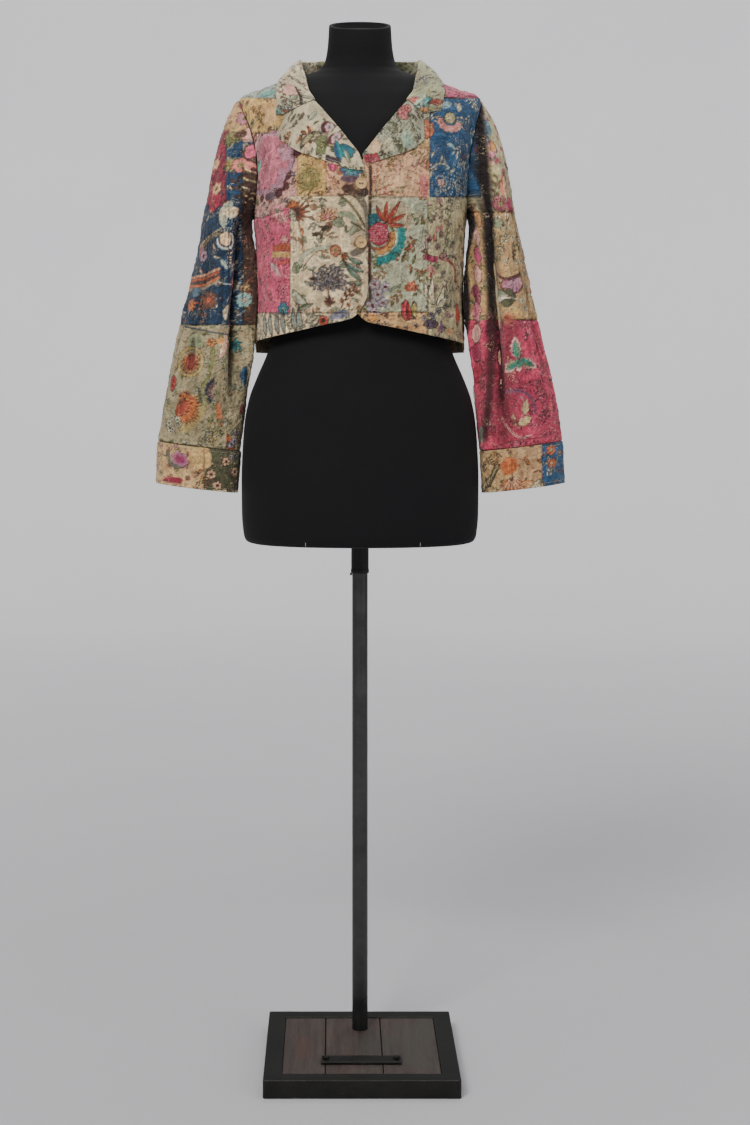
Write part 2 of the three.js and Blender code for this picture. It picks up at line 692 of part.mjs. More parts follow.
function solidOf(geometry) {
  const bare = geometry.clone();
  bare.deleteAttribute("normal");
  bare.deleteAttribute("uv");
  const merged = mergeVertices(bare, 1e-4);
  return new wasm.Manifold(
    new wasm.Mesh({
      numProp: 3,
      vertProperties: new Float32Array(merged.attributes.position.array),
      triVerts: new Uint32Array(merged.index.array),
    }),
  );
}

function geometryOf(solid) {
  const mesh = solid.getMesh();
  const geometry = new THREE.BufferGeometry();
  geometry.setAttribute("position", new THREE.BufferAttribute(mesh.vertProperties, 3));
  geometry.setIndex(new THREE.BufferAttribute(mesh.triVerts, 1));
  return geometry;
}

const cylinder = (radius, length, sides = 24) => new THREE.CylinderGeometry(radius, radius, length, sides);

// A turned wooden button with a raised rim and two thread holes, its back at z 0.
function buttonGeometry() {
  const r = BUTTON_RADIUS;
  const t = BUTTON_THICK;
  const profile = [
    [0, 0],
    [r * 0.8, 0],
    [r, t * 0.35],
    [r, t * 0.75],
    [r * 0.93, t],
    [r * 0.8, t],
    [r * 0.7, t * 0.72],
    [0, t * 0.66],
  ].map(([x, y]) => new THREE.Vector2(x, y));
  let solid = solidOf(new THREE.LatheGeometry(profile, 28).rotateX(PI / 2));
  for (const x of [-2, 2]) {
    solid = solid.subtract(solidOf(cylinder(0.9, 3 * t, 10).rotateX(PI / 2).translate(x, 0, 0)));
  }
  return geometryOf(solid);
}

// The dress form as rings from its floor to the slanting, dished top of its neck.
function torso() {
  const rings = [];
  const levels = FORM.map((r) => r.z).flatMap((z, i, all) => {
    const next = all[i + 1];
    return next && next - z > 36 && z > 777 ? [z, (z + next) / 2] : [z];
  });
  const ring = (z, inset, drop) =>
    along(GRID.ring, (u) => u)
      .slice(0, GRID.ring)
      .map((u) => {
        const k = 1 - inset / form.half(z);
        const p = sectionPoint(form.half(z) * k, form.front(z) * k, form.back(z) * k, 2 * PI * u, z);
        p.z += NECK_TILT.slope * p.y * ease(NECK_TILT.from, NECK_TILT.to, z) - drop;
        return p;
      });
  for (const z of levels) rings.push(ring(z, 0, 0));
  const top = NECK_TILT.to;
  rings.push(ring(top, NECK_DISH.rim, 0), ring(top, NECK_DISH.rim + 2, NECK_DISH.deep));
  const position = rings.flat().flatMap((p) => p.toArray());
  const index = [];
  const n = GRID.ring;
  for (let j = 0; j < rings.length - 1; j++) {
    for (let i = 0; i < n; i++) {
      const [a, b] = [j * n + i, j * n + ((i + 1) % n)];
      index.push(a, b, b + n, a, b + n, a + n);
    }
  }
  const last = (rings.length - 1) * n;
  const floor = position.length / 3;
  position.push(0, 0, FORM_BOTTOM, 0, 0, top - NECK_DISH.deep);
  for (let i = 0; i < n; i++) {
    const next = (i + 1) % n;
    index.push(floor, next, i, floor + 1, last + i, last + next);
  }
  return facingOut(position, index);
}

// ---- The object ----

const group = new THREE.Group();

function add(name, geometry, finish) {
  const mesh = new THREE.Mesh(geometry, new THREE.MeshStandardMaterial({ ...finish }));
  mesh.name = name;
  group.add(mesh);
  return mesh;
}

const FINISH = {
  cream: { color: 0xc9b79a, roughness: 0.9 },
  sage: { color: 0xa3a68c, roughness: 0.9 },
  blue: { color: 0x3f6388, roughness: 0.9 },
  rose: { color: 0xa94560, roughness: 0.9 },
  ochre: { color: 0xb3935f, roughness: 0.9 },
  wood: { color: 0x4a3a34, roughness: 0.7 },
  button: { color: 0xc8a878, roughness: 0.5 },
  canvas: { color: 0x161618, roughness: 0.95 },
  steel: { color: 0x2b2d2c, roughness: 0.45, metalness: 0.8 },
};

// The stand: a steel tray that holds three boards, a bar bolted on them, and the pole.
const TRAY_EDGE = 26;
const TRAY_FLOOR = 12;
const BOARD_DROP = 1.5;
const trayBlock = new THREE.BoxGeometry(BASE_SIDE, BASE_SIDE, BASE_THICK).translate(0, BASE_CENTRE_Y, BASE_THICK / 2);
const well = BASE_SIDE - 2 * TRAY_EDGE;
const wellBlock = new THREE.BoxGeometry(well, well, BASE_THICK).translate(
  0,
  BASE_CENTRE_Y,
  TRAY_FLOOR + BASE_THICK / 2,
);
add("base_tray", geometryOf(solidOf(trayBlock).subtract(solidOf(wellBlock))), FINISH.steel);

const boardTop = BASE_THICK - BOARD_DROP;
const BOARDS = [
  { name: "base_board_right", from: -well / 2, to: -52 },
  { name: "base_board_middle", from: -52, to: 31 },
  { name: "base_board_left", from: 31, to: well / 2 },
];
for (const { name, from, to } of BOARDS) {
  const high = boardTop - TRAY_FLOOR - SEAM;
  const board = new THREE.BoxGeometry(to - from - 4 * SEAM, well - 2 * SEAM, high);
  add(name, board.translate((from + to) / 2, BASE_CENTRE_Y, boardTop - high / 2), FINISH.wood);
}

const BAR = { long: 116, wide: 26, thick: 4, y: -134 };
const barTop = boardTop + SEAM + BAR.thick;
const bar = new THREE.BoxGeometry(BAR.long, BAR.wide, BAR.thick).translate(0, BAR.y, barTop - BAR.thick / 2);
add("base_bar", bar, FINISH.steel);
for (const [name, x] of [["base_bolt_right", -51], ["base_bolt_left", 51]]) {
  const head = cylinder(4.6, 3.6, 6).rotateX(PI / 2).translate(x, BAR.y, barTop + SEAM + 1.8);
  add(name, head, FINISH.steel);
}

const poleFoot = boardTop + SEAM;
const poleTop = FORM_BOTTOM - 5;
const pole = cylinder(POLE_RADIUS, poleTop - poleFoot, 32).rotateX(PI / 2).translate(0, 0, (poleTop + poleFoot) / 2);
add("pole", pole, FINISH.steel);

const socketFoot = FORM_BOTTOM - SOCKET_LENGTH;
const socketTop = FORM_BOTTOM - SEAM;
const PIN = { radius: 1.7, long: 3.4 };
const pinX = -(POLE_RADIUS + SEAM + PIN.long / 2);
add("pole_pin", cylinder(PIN.radius, PIN.long, 12).rotateZ(PI / 2).translate(pinX, 0, socketFoot - PIN.radius - SEAM), FINISH.steel);

// The socket turns on the pole's end, so its bore keeps a running gap all round.
const RUNNING = 0.5;
const socketBody = cylinder(SOCKET_RADIUS, socketTop - socketFoot, 32)
  .rotateX(PI / 2)
  .translate(0, 0, (socketTop + socketFoot) / 2);
const boreTop = poleTop + SEAM;
const bore = cylinder(POLE_RADIUS + RUNNING, boreTop - socketFoot + 2, 32)
  .rotateX(PI / 2)
  .translate(0, 0, (boreTop + socketFoot - 2) / 2);
add("form_socket", geometryOf(solidOf(socketBody).subtract(solidOf(bore))), FINISH.steel);
add("form_torso", torso(), FINISH.canvas);

// The jacket.
add("front_right", frontPanel("right"), FINISH.cream);
add("front_left", frontPanel("left"), FINISH.sage);
add("back", backPanel(), FINISH.ochre);
add("sleeve_right", sleeve("right"), FINISH.blue);
add("sleeve_left", sleeve("left"), FINISH.rose);
add("cuff_right", cuff("right"), FINISH.ochre);
add("cuff_left", cuff("left"), FINISH.ochre);
add("lapel_right", lapel("right"), FINISH.cream);
add("lapel_left", lapel("left"), FINISH.sage);
add("collar", collar(), FINISH.cream);

for (const [name, z] of Object.entries(BUTTON_HEIGHTS)) {
  const seat = frontPoint(SIDES.right, 0, z, SEAT);
  const normal = bodyNormal(0, z);
  const button = add(name, buttonGeometry(), FINISH.button);
  button.position.copy(seat);
  button.quaternion.setFromUnitVectors(new THREE.Vector3(0, 0, 1), normal);
}

export default group;
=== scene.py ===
# %% [markdown]
# # A patchwork jacket on a dress form
#
# The object is a short cotton jacket, pieced from printed patches, buttoned on a black dress form that
# turns on a pole. The CAD model gives the frame: every piece made here stands where its solid stands, and
# replaces it. Lengths in the tables are millimetres, as on a pattern cutter's bench, and each mesh is made
# in metres.
#
# The cloth is made from the same kind of rings as the solids, only much closer together. The print is not a
# picture: each flower, leaf and stem is drawn into the mesh's own colours by small functions, from tables
# of places and sizes.

# %% Load the fixed frame
import math

import bmesh
import bpy
import numpy as np
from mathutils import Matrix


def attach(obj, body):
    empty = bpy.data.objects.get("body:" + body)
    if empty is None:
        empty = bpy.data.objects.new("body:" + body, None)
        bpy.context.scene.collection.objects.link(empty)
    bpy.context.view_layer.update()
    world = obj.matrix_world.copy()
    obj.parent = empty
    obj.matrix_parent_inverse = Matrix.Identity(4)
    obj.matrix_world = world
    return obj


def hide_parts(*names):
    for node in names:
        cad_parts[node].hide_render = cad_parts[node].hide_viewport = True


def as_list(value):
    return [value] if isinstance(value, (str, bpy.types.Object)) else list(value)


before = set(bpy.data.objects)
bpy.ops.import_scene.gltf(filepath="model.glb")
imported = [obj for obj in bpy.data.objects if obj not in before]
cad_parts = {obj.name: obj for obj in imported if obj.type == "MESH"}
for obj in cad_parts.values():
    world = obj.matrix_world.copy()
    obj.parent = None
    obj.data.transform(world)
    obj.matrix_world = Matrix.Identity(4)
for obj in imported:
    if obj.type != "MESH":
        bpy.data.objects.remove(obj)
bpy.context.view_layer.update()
MM = 0.001

# %% [markdown]
# ## Camera
#
# The camera stands level with the jacket's waist, about 2.8 m in front of it, and the picture is shifted
# down to take in the stand. A level camera with a shift keeps the pole upright, as in a studio.

# %% Camera
VIEW = {"wide": 750, "high": 1125, "focal": 1830, "middle": (333, 373), "place": (-41.0, -2785.0, 1022.0)}
camera = bpy.data.objects.new("camera", bpy.data.cameras.new("camera"))
bpy.context.scene.collection.objects.link(camera)
camera.location = [c * MM for c in VIEW["place"]]
camera.rotation_euler = (math.radians(90), 0, 0)
camera.data.sensor_width = 36
camera.data.lens = 36 * VIEW["focal"] / VIEW["high"]
camera.data.shift_x = (VIEW["wide"] / 2 - VIEW["middle"][0]) / VIEW["high"]
camera.data.shift_y = (VIEW["middle"][1] - VIEW["high"] / 2) / VIEW["high"]
bpy.context.scene.camera = camera


def seen_at(points):
    """Where points of the frame, in mm, lie in the front view: steps from its left, and from its top."""
    x, y, z = np.moveaxis(np.asarray(points, float) - VIEW["place"], -1, 0)
    return VIEW["middle"][0] + VIEW["focal"] * x / y, VIEW["middle"][1] - VIEW["focal"] * z / y


# %% [markdown]
# ## Small mathematics
#
# A table gives a size at a few heights, and a smooth curve runs through it with no overshoot. Noise is a
# table of random numbers read with smooth steps between them, so the same seed always gives the same
# creases.

# %% Curves through tables
def through(x, y):
    """A smooth curve through the points, with no overshoot between them."""
    x, y = np.asarray(x, float), np.asarray(y, float)
    step = np.diff(y) / np.diff(x)
    a, b = step[:-1], step[1:]
    both = a + b
    inner = np.where(a * b <= 0, 0, 2 * a * b / np.where(both == 0, 1, both))
    slope = np.concatenate([step[:1], inner, step[-1:]])

    def at(t):
        t = np.clip(t, x[0], x[-1])
        i = np.clip(np.searchsorted(x, t, "right") - 1, 0, len(x) - 2)
        h = x[i + 1] - x[i]
        u = (t - x[i]) / h
        rise = y[i] * (1 + 2 * u) * (1 - u) ** 2 + y[i + 1] * u * u * (3 - 2 * u)
        return rise + h * u * (1 - u) * (slope[i] * (1 - u) - slope[i + 1] * u)

    return at


def table(columns, rows):
    """Each column of a table as a curve over the first one."""
    names = columns.split()
    data = np.array(sorted(rows), float)
    return {name: through(data[:, 0], data[:, i]) for i, name in enumerate(names) if i}


def lerp(a, b, t):
    return a + (b - a) * t


def ease(a, b, t):
    u = np.clip((t - a) / (b - a), 0, 1)
    return u * u * (3 - 2 * u)


def swell(t, low, high):
    return np.where((t <= low) | (t >= high), 0, np.sin((t - low) / (high - low) * np.pi) ** 2)


def bell(x, width):
    return np.exp(-((x / width) ** 2))


def turned(degrees):
    return (degrees + 180) % 360 - 180


NOISE_SIZE = 256


def noise(x, y, seed):
    """Smooth random numbers from -1 to 1 over a plane."""
    numbers = np.random.default_rng(seed).random((NOISE_SIZE, NOISE_SIZE)) * 2 - 1
    x, y = np.broadcast_arrays(np.asarray(x, float), np.asarray(y, float))
    i, j = np.floor(x).astype(int), np.floor(y).astype(int)
    u, v = x - i, y - j
    u, v = (w * w * w * (w * (w * 6 - 15) + 10) for w in (u, v))
    i0, j0, i1, j1 = (k % NOISE_SIZE for k in (i, j, i + 1, j + 1))
    low = lerp(numbers[i0, j0], numbers[i1, j0], u)
    return lerp(low, lerp(numbers[i0, j1], numbers[i1, j1], u), v)


def unit(v):
    return v / np.maximum(np.linalg.norm(v, axis=-1, keepdims=True), 1e-9)


def stack(*parts):
    return np.stack(np.broadcast_arrays(*parts), -1)


# %% [markdown]
# ## The sizes of the jacket and the form
#
# These are the CAD model's own tables: half the width, and the depth before and behind the pole's axis,
# level by level.

# %% Tables
FORM = table(
    "z half front back",
    [
        (765, 164, 103, 103), (767.5, 172, 110, 109), (777, 176.5, 114, 113), (810, 179.5, 117, 117),
        (860, 180, 118, 120), (905, 178.5, 116.5, 120), (945, 175.5, 114, 118), (981, 169, 111, 114),
        (1014, 157, 105, 108), (1049, 142, 98, 101), (1090, 129, 93, 93), (1130, 130, 98, 92),
        (1200, 141, 112, 97), (1260, 150, 128, 103), (1300, 154, 131, 105), (1350, 158, 119, 106),
        (1390, 161, 104, 103), (1418, 160, 90, 97), (1437, 152, 80, 92), (1451, 136, 70, 85),
        (1463, 112, 61, 77), (1472, 86, 53, 67), (1482, 62, 49, 61), (1496, 53, 48, 55),
        (1520, 49, 49, 50), (1551, 47, 48, 47),
    ],
)  # fmt: skip
JACKET = table(
    "z half front back",
    [
        (1046, 158, 110, 119), (1090, 156, 115, 116), (1140, 155, 121, 114), (1200, 157, 128, 113),
        (1262, 161, 136, 114), (1300, 165, 138, 115), (1350, 172, 127, 115), (1390, 179, 113, 111),
        (1420, 184, 98, 105), (1437, 183, 86, 99), (1450, 152, 75, 91), (1462, 121, 66, 82),
        (1470, 102, 60, 75), (1478, 86, 54, 68),
    ],
)  # fmt: skip
NECK_Z, SHOULDER_Z, UNDERARM_Z = 1478, 1437, 1262
ACROSS, DEEP = 0.92, 0.86  # below 1, a section is squarer than an ellipse
CLOTH, LAYER, SEAM = 1.8, 0.8, 0.3
BODY_FOLDS = [  # angle from the front, lean, low, high, width, out
    (-98, 0.02, 1030, 1200, 9, 9), (99, -0.02, 1030, 1190, 8, 6), (-50, 0.05, 1290, 1440, 6, 4),
    (56, -0.04, 1270, 1425, 6, 3.5), (-34, 0.1, 1090, 1270, 8, 3), (42, -0.12, 1080, 1260, 8, 3.5),
    (-152, 0.03, 1040, 1380, 8, 5), (150, -0.05, 1040, 1400, 9, 5.5), (176, 0.04, 1040, 1250, 7, 4),
    (-125, -0.04, 1030, 1180, 7, 5), (122, 0.05, 1030, 1170, 7, 5),
]  # fmt: skip
ROLL = through(
    [1333, 1343, 1357, 1380, 1392, 1408, 1426, 1440, 1452, 1466, NECK_Z],
    [1, 6, 16, 33, 43, 56, 71, 81.5, 84.5, 85.5, 86],
)
RIGHT = {
    "name": "right", "hand": -1, "lap": 10, "hem": 1104, "fall": 0.215, "arm": 26, "notch": (113, 1402),
    "tip": (124, 1410), "root": (-2, 1320),
    "edge": [(-5, 1314), (14, 1316), (56, 1331), (96, 1348), (121, 1371), (116, 1386), (112, 1401)],
}  # fmt: skip
LEFT = {
    "name": "left", "hand": 1, "lap": 16, "hem": 1098, "fall": 0.2, "arm": 18, "notch": (91, 1402),
    "tip": (117, 1407), "root": (3, 1335),
    "edge": [(7, 1323), (36, 1333.5), (72, 1347), (92, 1366), (92, 1384), (90, 1401)],
}  # fmt: skip
ARMHOLE_BACK, V_LOW, V_HIGH, NECK_POINT = 24, 1312, 1333, 84
CORNER_ACROSS, CORNER_UP = 30, 46
HEM_BACK, HEM_SIDE = 1049, 1053
GORGE = (69, 1423)

# %% [markdown]
# ## Surfaces
#
# Every point of the jacket's body is known by its angle round the figure and its height. The same functions
# serve the fronts, the back, the lapels and the collar, so what lies on a panel follows it.


# %% Body surface
def section(sizes, angle, z):
    s, c = np.sin(angle), np.cos(angle)
    depth = np.where(c >= 0, sizes["front"](z), sizes["back"](z))
    x = sizes["half"](z) * np.sign(s) * np.abs(s) ** ACROSS
    return stack(x, -depth * np.sign(c) * np.abs(c) ** DEEP, z)


def angle_at(x, z):
    return np.sign(x) * np.arcsin(np.minimum(np.abs(x) / JACKET["half"](z), 1) ** (1 / ACROSS))


def body_point(angle, z):
    out = 0
    for centre, lean, low, high, width, depth in BODY_FOLDS:
        off = turned(np.degrees(angle) - centre - lean * (z - low))
        out = out + depth * bell(off, width) * swell(z, low, high)
    s, c = np.sin(angle), np.cos(angle)
    level = stack(np.sign(s) * np.abs(s) ** ACROSS, -np.sign(c) * np.abs(c) ** DEEP, 0)
    return section(JACKET, angle, z) + unit(level) * np.asarray(out)[..., None]


def body_normal(angle, z):
    across = body_point(angle + 0.02, z) - body_point(angle - 0.02, z)
    up = body_point(angle, np.minimum(z + 1, NECK_Z)) - body_point(angle, z - 1)
    return unit(np.cross(across, up))


def front_point(side, angle, z, out=0):
    near = 1 - ease(24, 66, side["hand"] * body_point(angle, z)[..., 0])
    lift = (CLOTH + LAYER) * near * (1 - ease(V_HIGH, V_HIGH + 24, z)) if side is RIGHT else 0
    return body_point(angle, z) + body_normal(angle, z) * np.asarray(lift + out)[..., None]


def armhole(reach, t):
    """Angle from the middle, in degrees, and height, round the armhole."""
    middle, half = (SHOULDER_Z + UNDERARM_Z) / 2, (SHOULDER_Z - UNDERARM_Z) / 2
    return 90 - reach * np.sin(t), middle + half * np.cos(t)


def even_rows(reach, step):
    """Heights from the underarm to the neck, closer where the armhole's edge runs level."""
    t = np.linspace(np.pi, 0, 4000)
    angle, z = armhole(reach, t)
    z = np.concatenate([z, np.linspace(SHOULDER_Z, NECK_Z, 400)[1:]])
    angle = np.concatenate([angle, np.full(399, 90.0)])
    run = np.maximum(np.abs(np.diff(z)), 0.4 * 2.2 * np.abs(np.diff(angle)))
    total = np.concatenate([[0], np.cumsum(run)])
    count = int(total[-1] / step)
    at = np.linspace(0, total[-1], count + 1)
    return np.interp(at, total, z), np.interp(at, total, angle)


def panel_rows(reach, step, coarse):
    """Rows of a body panel: share of the way from hem to underarm, height, and the outer edge's angle."""
    z, angle = even_rows(reach, step)
    below = int((UNDERARM_Z - 1090) / step)
    below += (-(below + len(z) - 1)) % coarse
    share = np.concatenate([np.linspace(0, 1, below + 1), np.ones(len(z) - 1)])
    z = np.concatenate([np.full(below, UNDERARM_Z), z])
    angle = np.concatenate([np.full(below, 90.0), angle])
    return share[:, None], z[:, None], np.radians(angle)[:, None]


def front_panel(side, step, columns, coarse):
    share, z0, outer = panel_rows(side["arm"], step, coarse)
    edge_z = np.where(share < 1, lerp(side["hem"] + CORNER_UP, UNDERARM_Z, share), z0)
    at_v = ease(V_LOW, V_HIGH, edge_z) ** 1.6
    edge_x = np.where(edge_z >= V_HIGH, ROLL(edge_z) + 1.5, lerp(-side["lap"], ROLL(V_HIGH) + 1.5, at_v))
    inner = np.minimum(angle_at(edge_x, edge_z), math.radians(NECK_POINT))
    u = np.linspace(0, 1, columns)[None, :] ** 1.2
    angle = lerp(inner, outer - 0.001, u)
    x = side["hand"] * body_point(side["hand"] * angle, np.full_like(angle, side["hem"]))[..., 0]
    corner = np.clip(1 - (x + side["lap"]) / CORNER_ACROSS, 0, 1)
    hem = side["hem"] - side["fall"] * np.maximum(x, 0) + CORNER_UP * (1 - np.sqrt(1 - corner**2))
    z = np.where(share < 1, lerp(hem, UNDERARM_Z, share), z0 + 0 * angle)
    angle = side["hand"] * angle
    return front_point(side, angle, z), body_normal(angle, z)


def back_panel(step, columns, coarse):
    share, z0, start = panel_rows(ARMHOLE_BACK, step, coarse)
    start = np.pi - start
    u = np.linspace(0, 1, columns)[None, :]
    angle = lerp(start + 0.001, 2 * np.pi - start - 0.001, u)
    hem = lerp(HEM_BACK, HEM_SIDE, np.abs(np.cos(angle / 2) * 2 * np.sin(angle / 2)))
    z = np.where(share < 1, lerp(hem, UNDERARM_Z, share), z0 + 0 * angle)
    return body_point(angle, z), body_normal(angle, z)


def grid_normals(points, ring=False):
    """Normals of a grid of points, from its neighbours."""
    if ring:
        across = np.roll(points, -1, 1) - np.roll(points, 1, 1)
    else:
        across = np.gradient(points, axis=1)
    return unit(np.cross(across, np.gradient(points, axis=0)))


# %% [markdown]
# ## Closed cloth from a grid
#
# Each piece is a thin closed wall. The outer side is fine, because it carries the print and the creases.
# The inner side is four times coarser, and fans of triangles join the two along the edges. This keeps a
# piece well under 200,000 triangles.


# %% Shell
def rim(fine, coarse_edge, step, turn_over):
    faces = []
    half = step // 2
    for s in range(len(coarse_edge) - 1):
        o = fine[s * step : (s + 1) * step + 1]
        for j in range(step):
            faces.append((o[j], o[j + 1], coarse_edge[s if j < half else s + 1]))
        faces.append((o[half], coarse_edge[s + 1], coarse_edge[s]))
    faces = np.array(faces)
    return faces[:, ::-1] if turn_over else faces


def grid_quads(index, ring):
    a = np.concatenate([index, index[:, :1]], 1) if ring else index
    return np.stack([a[:-1, :-1], a[:-1, 1:], a[1:, 1:], a[1:, :-1]], -1).reshape(-1, 4)


def make_mesh(name, points, quads, triangles=None):
    """A smooth-shaded mesh object from points in mm, with its faces turned outwards."""
    triangles = np.zeros((0, 3), int) if triangles is None else triangles
    soup = np.concatenate([quads[:, [0, 1, 2]], quads[:, [0, 2, 3]], triangles])
    a, b, c = (points[soup[:, k]] for k in range(3))
    if np.einsum("ij,ij->i", a, np.cross(b, c)).sum() < 0:
        quads, triangles = quads[:, ::-1], triangles[:, ::-1]
    mesh = bpy.data.meshes.new(name)
    mesh.vertices.add(len(points))
    mesh.vertices.foreach_set("co", (points * MM).astype(np.float32).ravel())
    corners = np.concatenate([quads.ravel(), triangles.ravel()])
    sizes = np.concatenate([np.full(len(quads), 4), np.full(len(triangles), 3)])
    mesh.loops.add(len(corners))
    mesh.loops.foreach_set("vertex_index", corners.astype(np.int32))
    mesh.polygons.add(len(sizes))
    mesh.polygons.foreach_set("loop_start", (np.cumsum(sizes) - sizes).astype(np.int32))
    mesh.polygons.foreach_set("use_smooth", np.ones(len(sizes), bool))
    mesh.update(calc_edges=True)
    mesh.validate()
    piece = bpy.data.objects.new(name, mesh)
    bpy.context.scene.collection.objects.link(piece)
    return piece


def shell(name, points, normals, thick, ring=False, step=4, thick_in=None):
    """A closed wall: the given side fine, and the side `thick` mm behind it coarse."""
    rows, columns = points.shape[:2]
    back = (points - normals * (thick if thick_in is None else thick_in[..., None]))[::step, ::step]
    fine = np.arange(rows * columns).reshape(rows, columns)
    behind = rows * columns + np.arange(back.shape[0] * back.shape[1]).reshape(back.shape[:2])
    quads = np.concatenate([grid_quads(fine, ring), grid_quads(behind, ring)[:, ::-1]])
    close = (lambda a: np.append(a, a[0])) if ring else (lambda a: a)
    edges = [
        rim(close(fine[0]), close(behind[0]), step, True),
        rim(close(fine[-1]), close(behind[-1]), step, False),
    ]
    if not ring:
        edges.append(rim(fine[:, 0], behind[:, 0], step, False))
        edges.append(rim(fine[:, -1], behind[:, -1], step, True))
    both = np.concatenate([points.reshape(-1, 3), back.reshape(-1, 3)])
    return make_mesh(name, both, quads, np.concatenate(edges))


print("surface at the bust:", np.round(body_point(0.0, 1290.0)))

# %% [markdown]
# ## Sleeves
#
# A sleeve starts on the armhole, curves over the shoulder into a tube, and the tube follows a short table
# of rings. Long folds run down it. They are waves across the ring that drift round it along its length.

# %% Sleeve surface
SLEEVE = table(
    "z inner outer deep y tilt",
    [
        (1236, 167, 240, 66, -2, 1), (1190, 166, 249, 59, -5, 2), (1130, 168, 261, 51, -8, 3),
        (1060, 170, 277, 44, -11, 5), (990, 174, 292, 39, -14, 6), (912, 181, 305, 36, -17, 7),
        (846, 185, 308, 35, -19, 7),
    ],
)  # fmt: skip
SLEEVE_TOP, CUFF_TOP, CUFF_BOTTOM = 1236, 912, 849
SLEEVE_FOLDS = {  # angle, drift, from, to, width, out
    "right": [
        (60, -10, 0.08, 0.95, 15, -6), (96, -4, 0.06, 0.98, 13, 5), (127, 10, 0.03, 0.92, 11, -19),
        (86, 30, 0.5, 0.85, 12, 3), (285, -18, 0.1, 0.9, 16, 5), (240, 10, 0.15, 0.85, 17, -7),
        (20, -30, 0.2, 0.8, 10, 3), (163, 2, 0.02, 0.9, 14, 15), (202, 0, 0.1, 0.85, 14, 8),
    ],
    "left": [
        (100, 17, 0.02, 0.99, 9, -21), (129, 12, 0.06, 0.96, 11, 5), (78, 12, 0.06, 0.95, 13, 5),
        (40, -12, 0.25, 0.85, 13, -5), (290, 14, 0.12, 0.92, 16, 5), (244, -12, 0.1, 0.8, 16, -7),
        (163, 2, 0.03, 0.88, 12, 13), (202, 0, 0.1, 0.85, 14, 9),
    ],
}  # fmt: skip


def tube_point(side, t, z, out=0):
    at = (SLEEVE_TOP - z) / (SLEEVE_TOP - CUFF_TOP)
    along = np.minimum(at * 0.8 + 0.2, 1)
    soft = out
    for centre, drift, low, high, width, depth in SLEEVE_FOLDS[side["name"]]:
        soft = soft + depth * bell(
            turned(np.degrees(t) - centre - drift * along), width
        ) * swell(along, low, high)
    x = ((SLEEVE["outer"](z) - SLEEVE["inner"](z)) / 2 + soft) * np.cos(t)
    middle = (SLEEVE["outer"](z) + SLEEVE["inner"](z)) / 2
    lean = x * np.tan(np.radians(SLEEVE["tilt"](z)))
    return stack(
        side["hand"] * (middle + x), SLEEVE["y"](z) - (SLEEVE["deep"](z) + soft) * np.sin(t), z + lean
    )


def cap_point(side, t, u):
    reach = np.where(np.sin(t) >= 0, side["arm"], ARMHOLE_BACK)
    angle, z = armhole(reach, t)
    start = body_point(side["hand"] * np.radians(angle), z)
    end = tube_point(side, t, np.full_like(t, SLEEVE_TOP))
    below = tube_point(side, t, np.full_like(t, SLEEVE_TOP - 10))
    top = np.maximum(np.cos(t), 0)
    leave = unit(stack(side["hand"] * (0.6 + 0.1 * top), -0.28 * np.sin(t), -0.75))
    far = np.linalg.norm(end - start, axis=-1, keepdims=True)
    leave = leave * far * lerp(0.7, 0.8, top)[..., None]
    arrive = unit(below - end) * far * 0.95
    u = np.asarray(u)[..., None]
    run = start * (1 + 2 * u) * (1 - u) ** 2 + end * u * u * (3 - 2 * u)
    return run + leave * u * (1 - u) ** 2 - arrive * u * u * (1 - u)


# The ring of a sleeve starts and ends at its back, and runs by the outer side to the front.
def ring_turns(count):
    return (np.linspace(-90, 270, count, endpoint=False))[None, :]


def sleeve_surface(side, count, cap_rows, tube_rows):
    t = np.radians(ring_turns(count))
    u = np.linspace(0, 1, cap_rows + 1)[:, None]
    cap = cap_point(side, t + 0 * u, u + 0 * t)
    z = np.linspace(SLEEVE_TOP, CUFF_TOP + SEAM, tube_rows + 1)[1:, None]
    return np.concatenate([cap, tube_point(side, t + 0 * z, z + 0 * t)])


def cuff_surface(side, count, rows):
    t = np.radians(ring_turns(count))
    z = np.linspace(CUFF_TOP - SEAM, CUFF_BOTTOM, rows + 1)[:, None]
    return tube_point(side, t + 0 * z, z + 0 * t)


# %% [markdown]
# ## Collar and lapels
#
# The lapels are grids on the fronts' own surface, moved out. The collar is one swept section: up the stand,
# over the fold and down the leaf. Its front ends lie flat on the chest, above the lapels.

# %% Collar surface
NECK_AT = 0.52
COLLAR = table(
    "at stand lean edge_x edge_z edge_out",
    [
        (0, 27, 8, 0, 1448, 5), (0.18, 26, 9, 58, 1449, 5), (0.36, 21.5, 11, 103, 1454, 4),
        (0.46, 18, 12, 116, 1459, 3.6), (NECK_AT, 16, 12, 120, 1461.5, 3), (0.64, 11, 12, 123, 1451, 1.4),
        (0.78, 5.5, 12, 124, 1437, 1), (0.9, 2, 12, 122, 1423, LAYER), (1, 0.6, 12, 120, 1409, LAYER),
    ],
)  # fmt: skip
FOLD_RADIUS = 0.9
UP = np.array([0.0, 0.0, 1.0])


def on_front(side, x, z, out):
    return front_point(side, side["hand"] * angle_at(x, z), z, out)


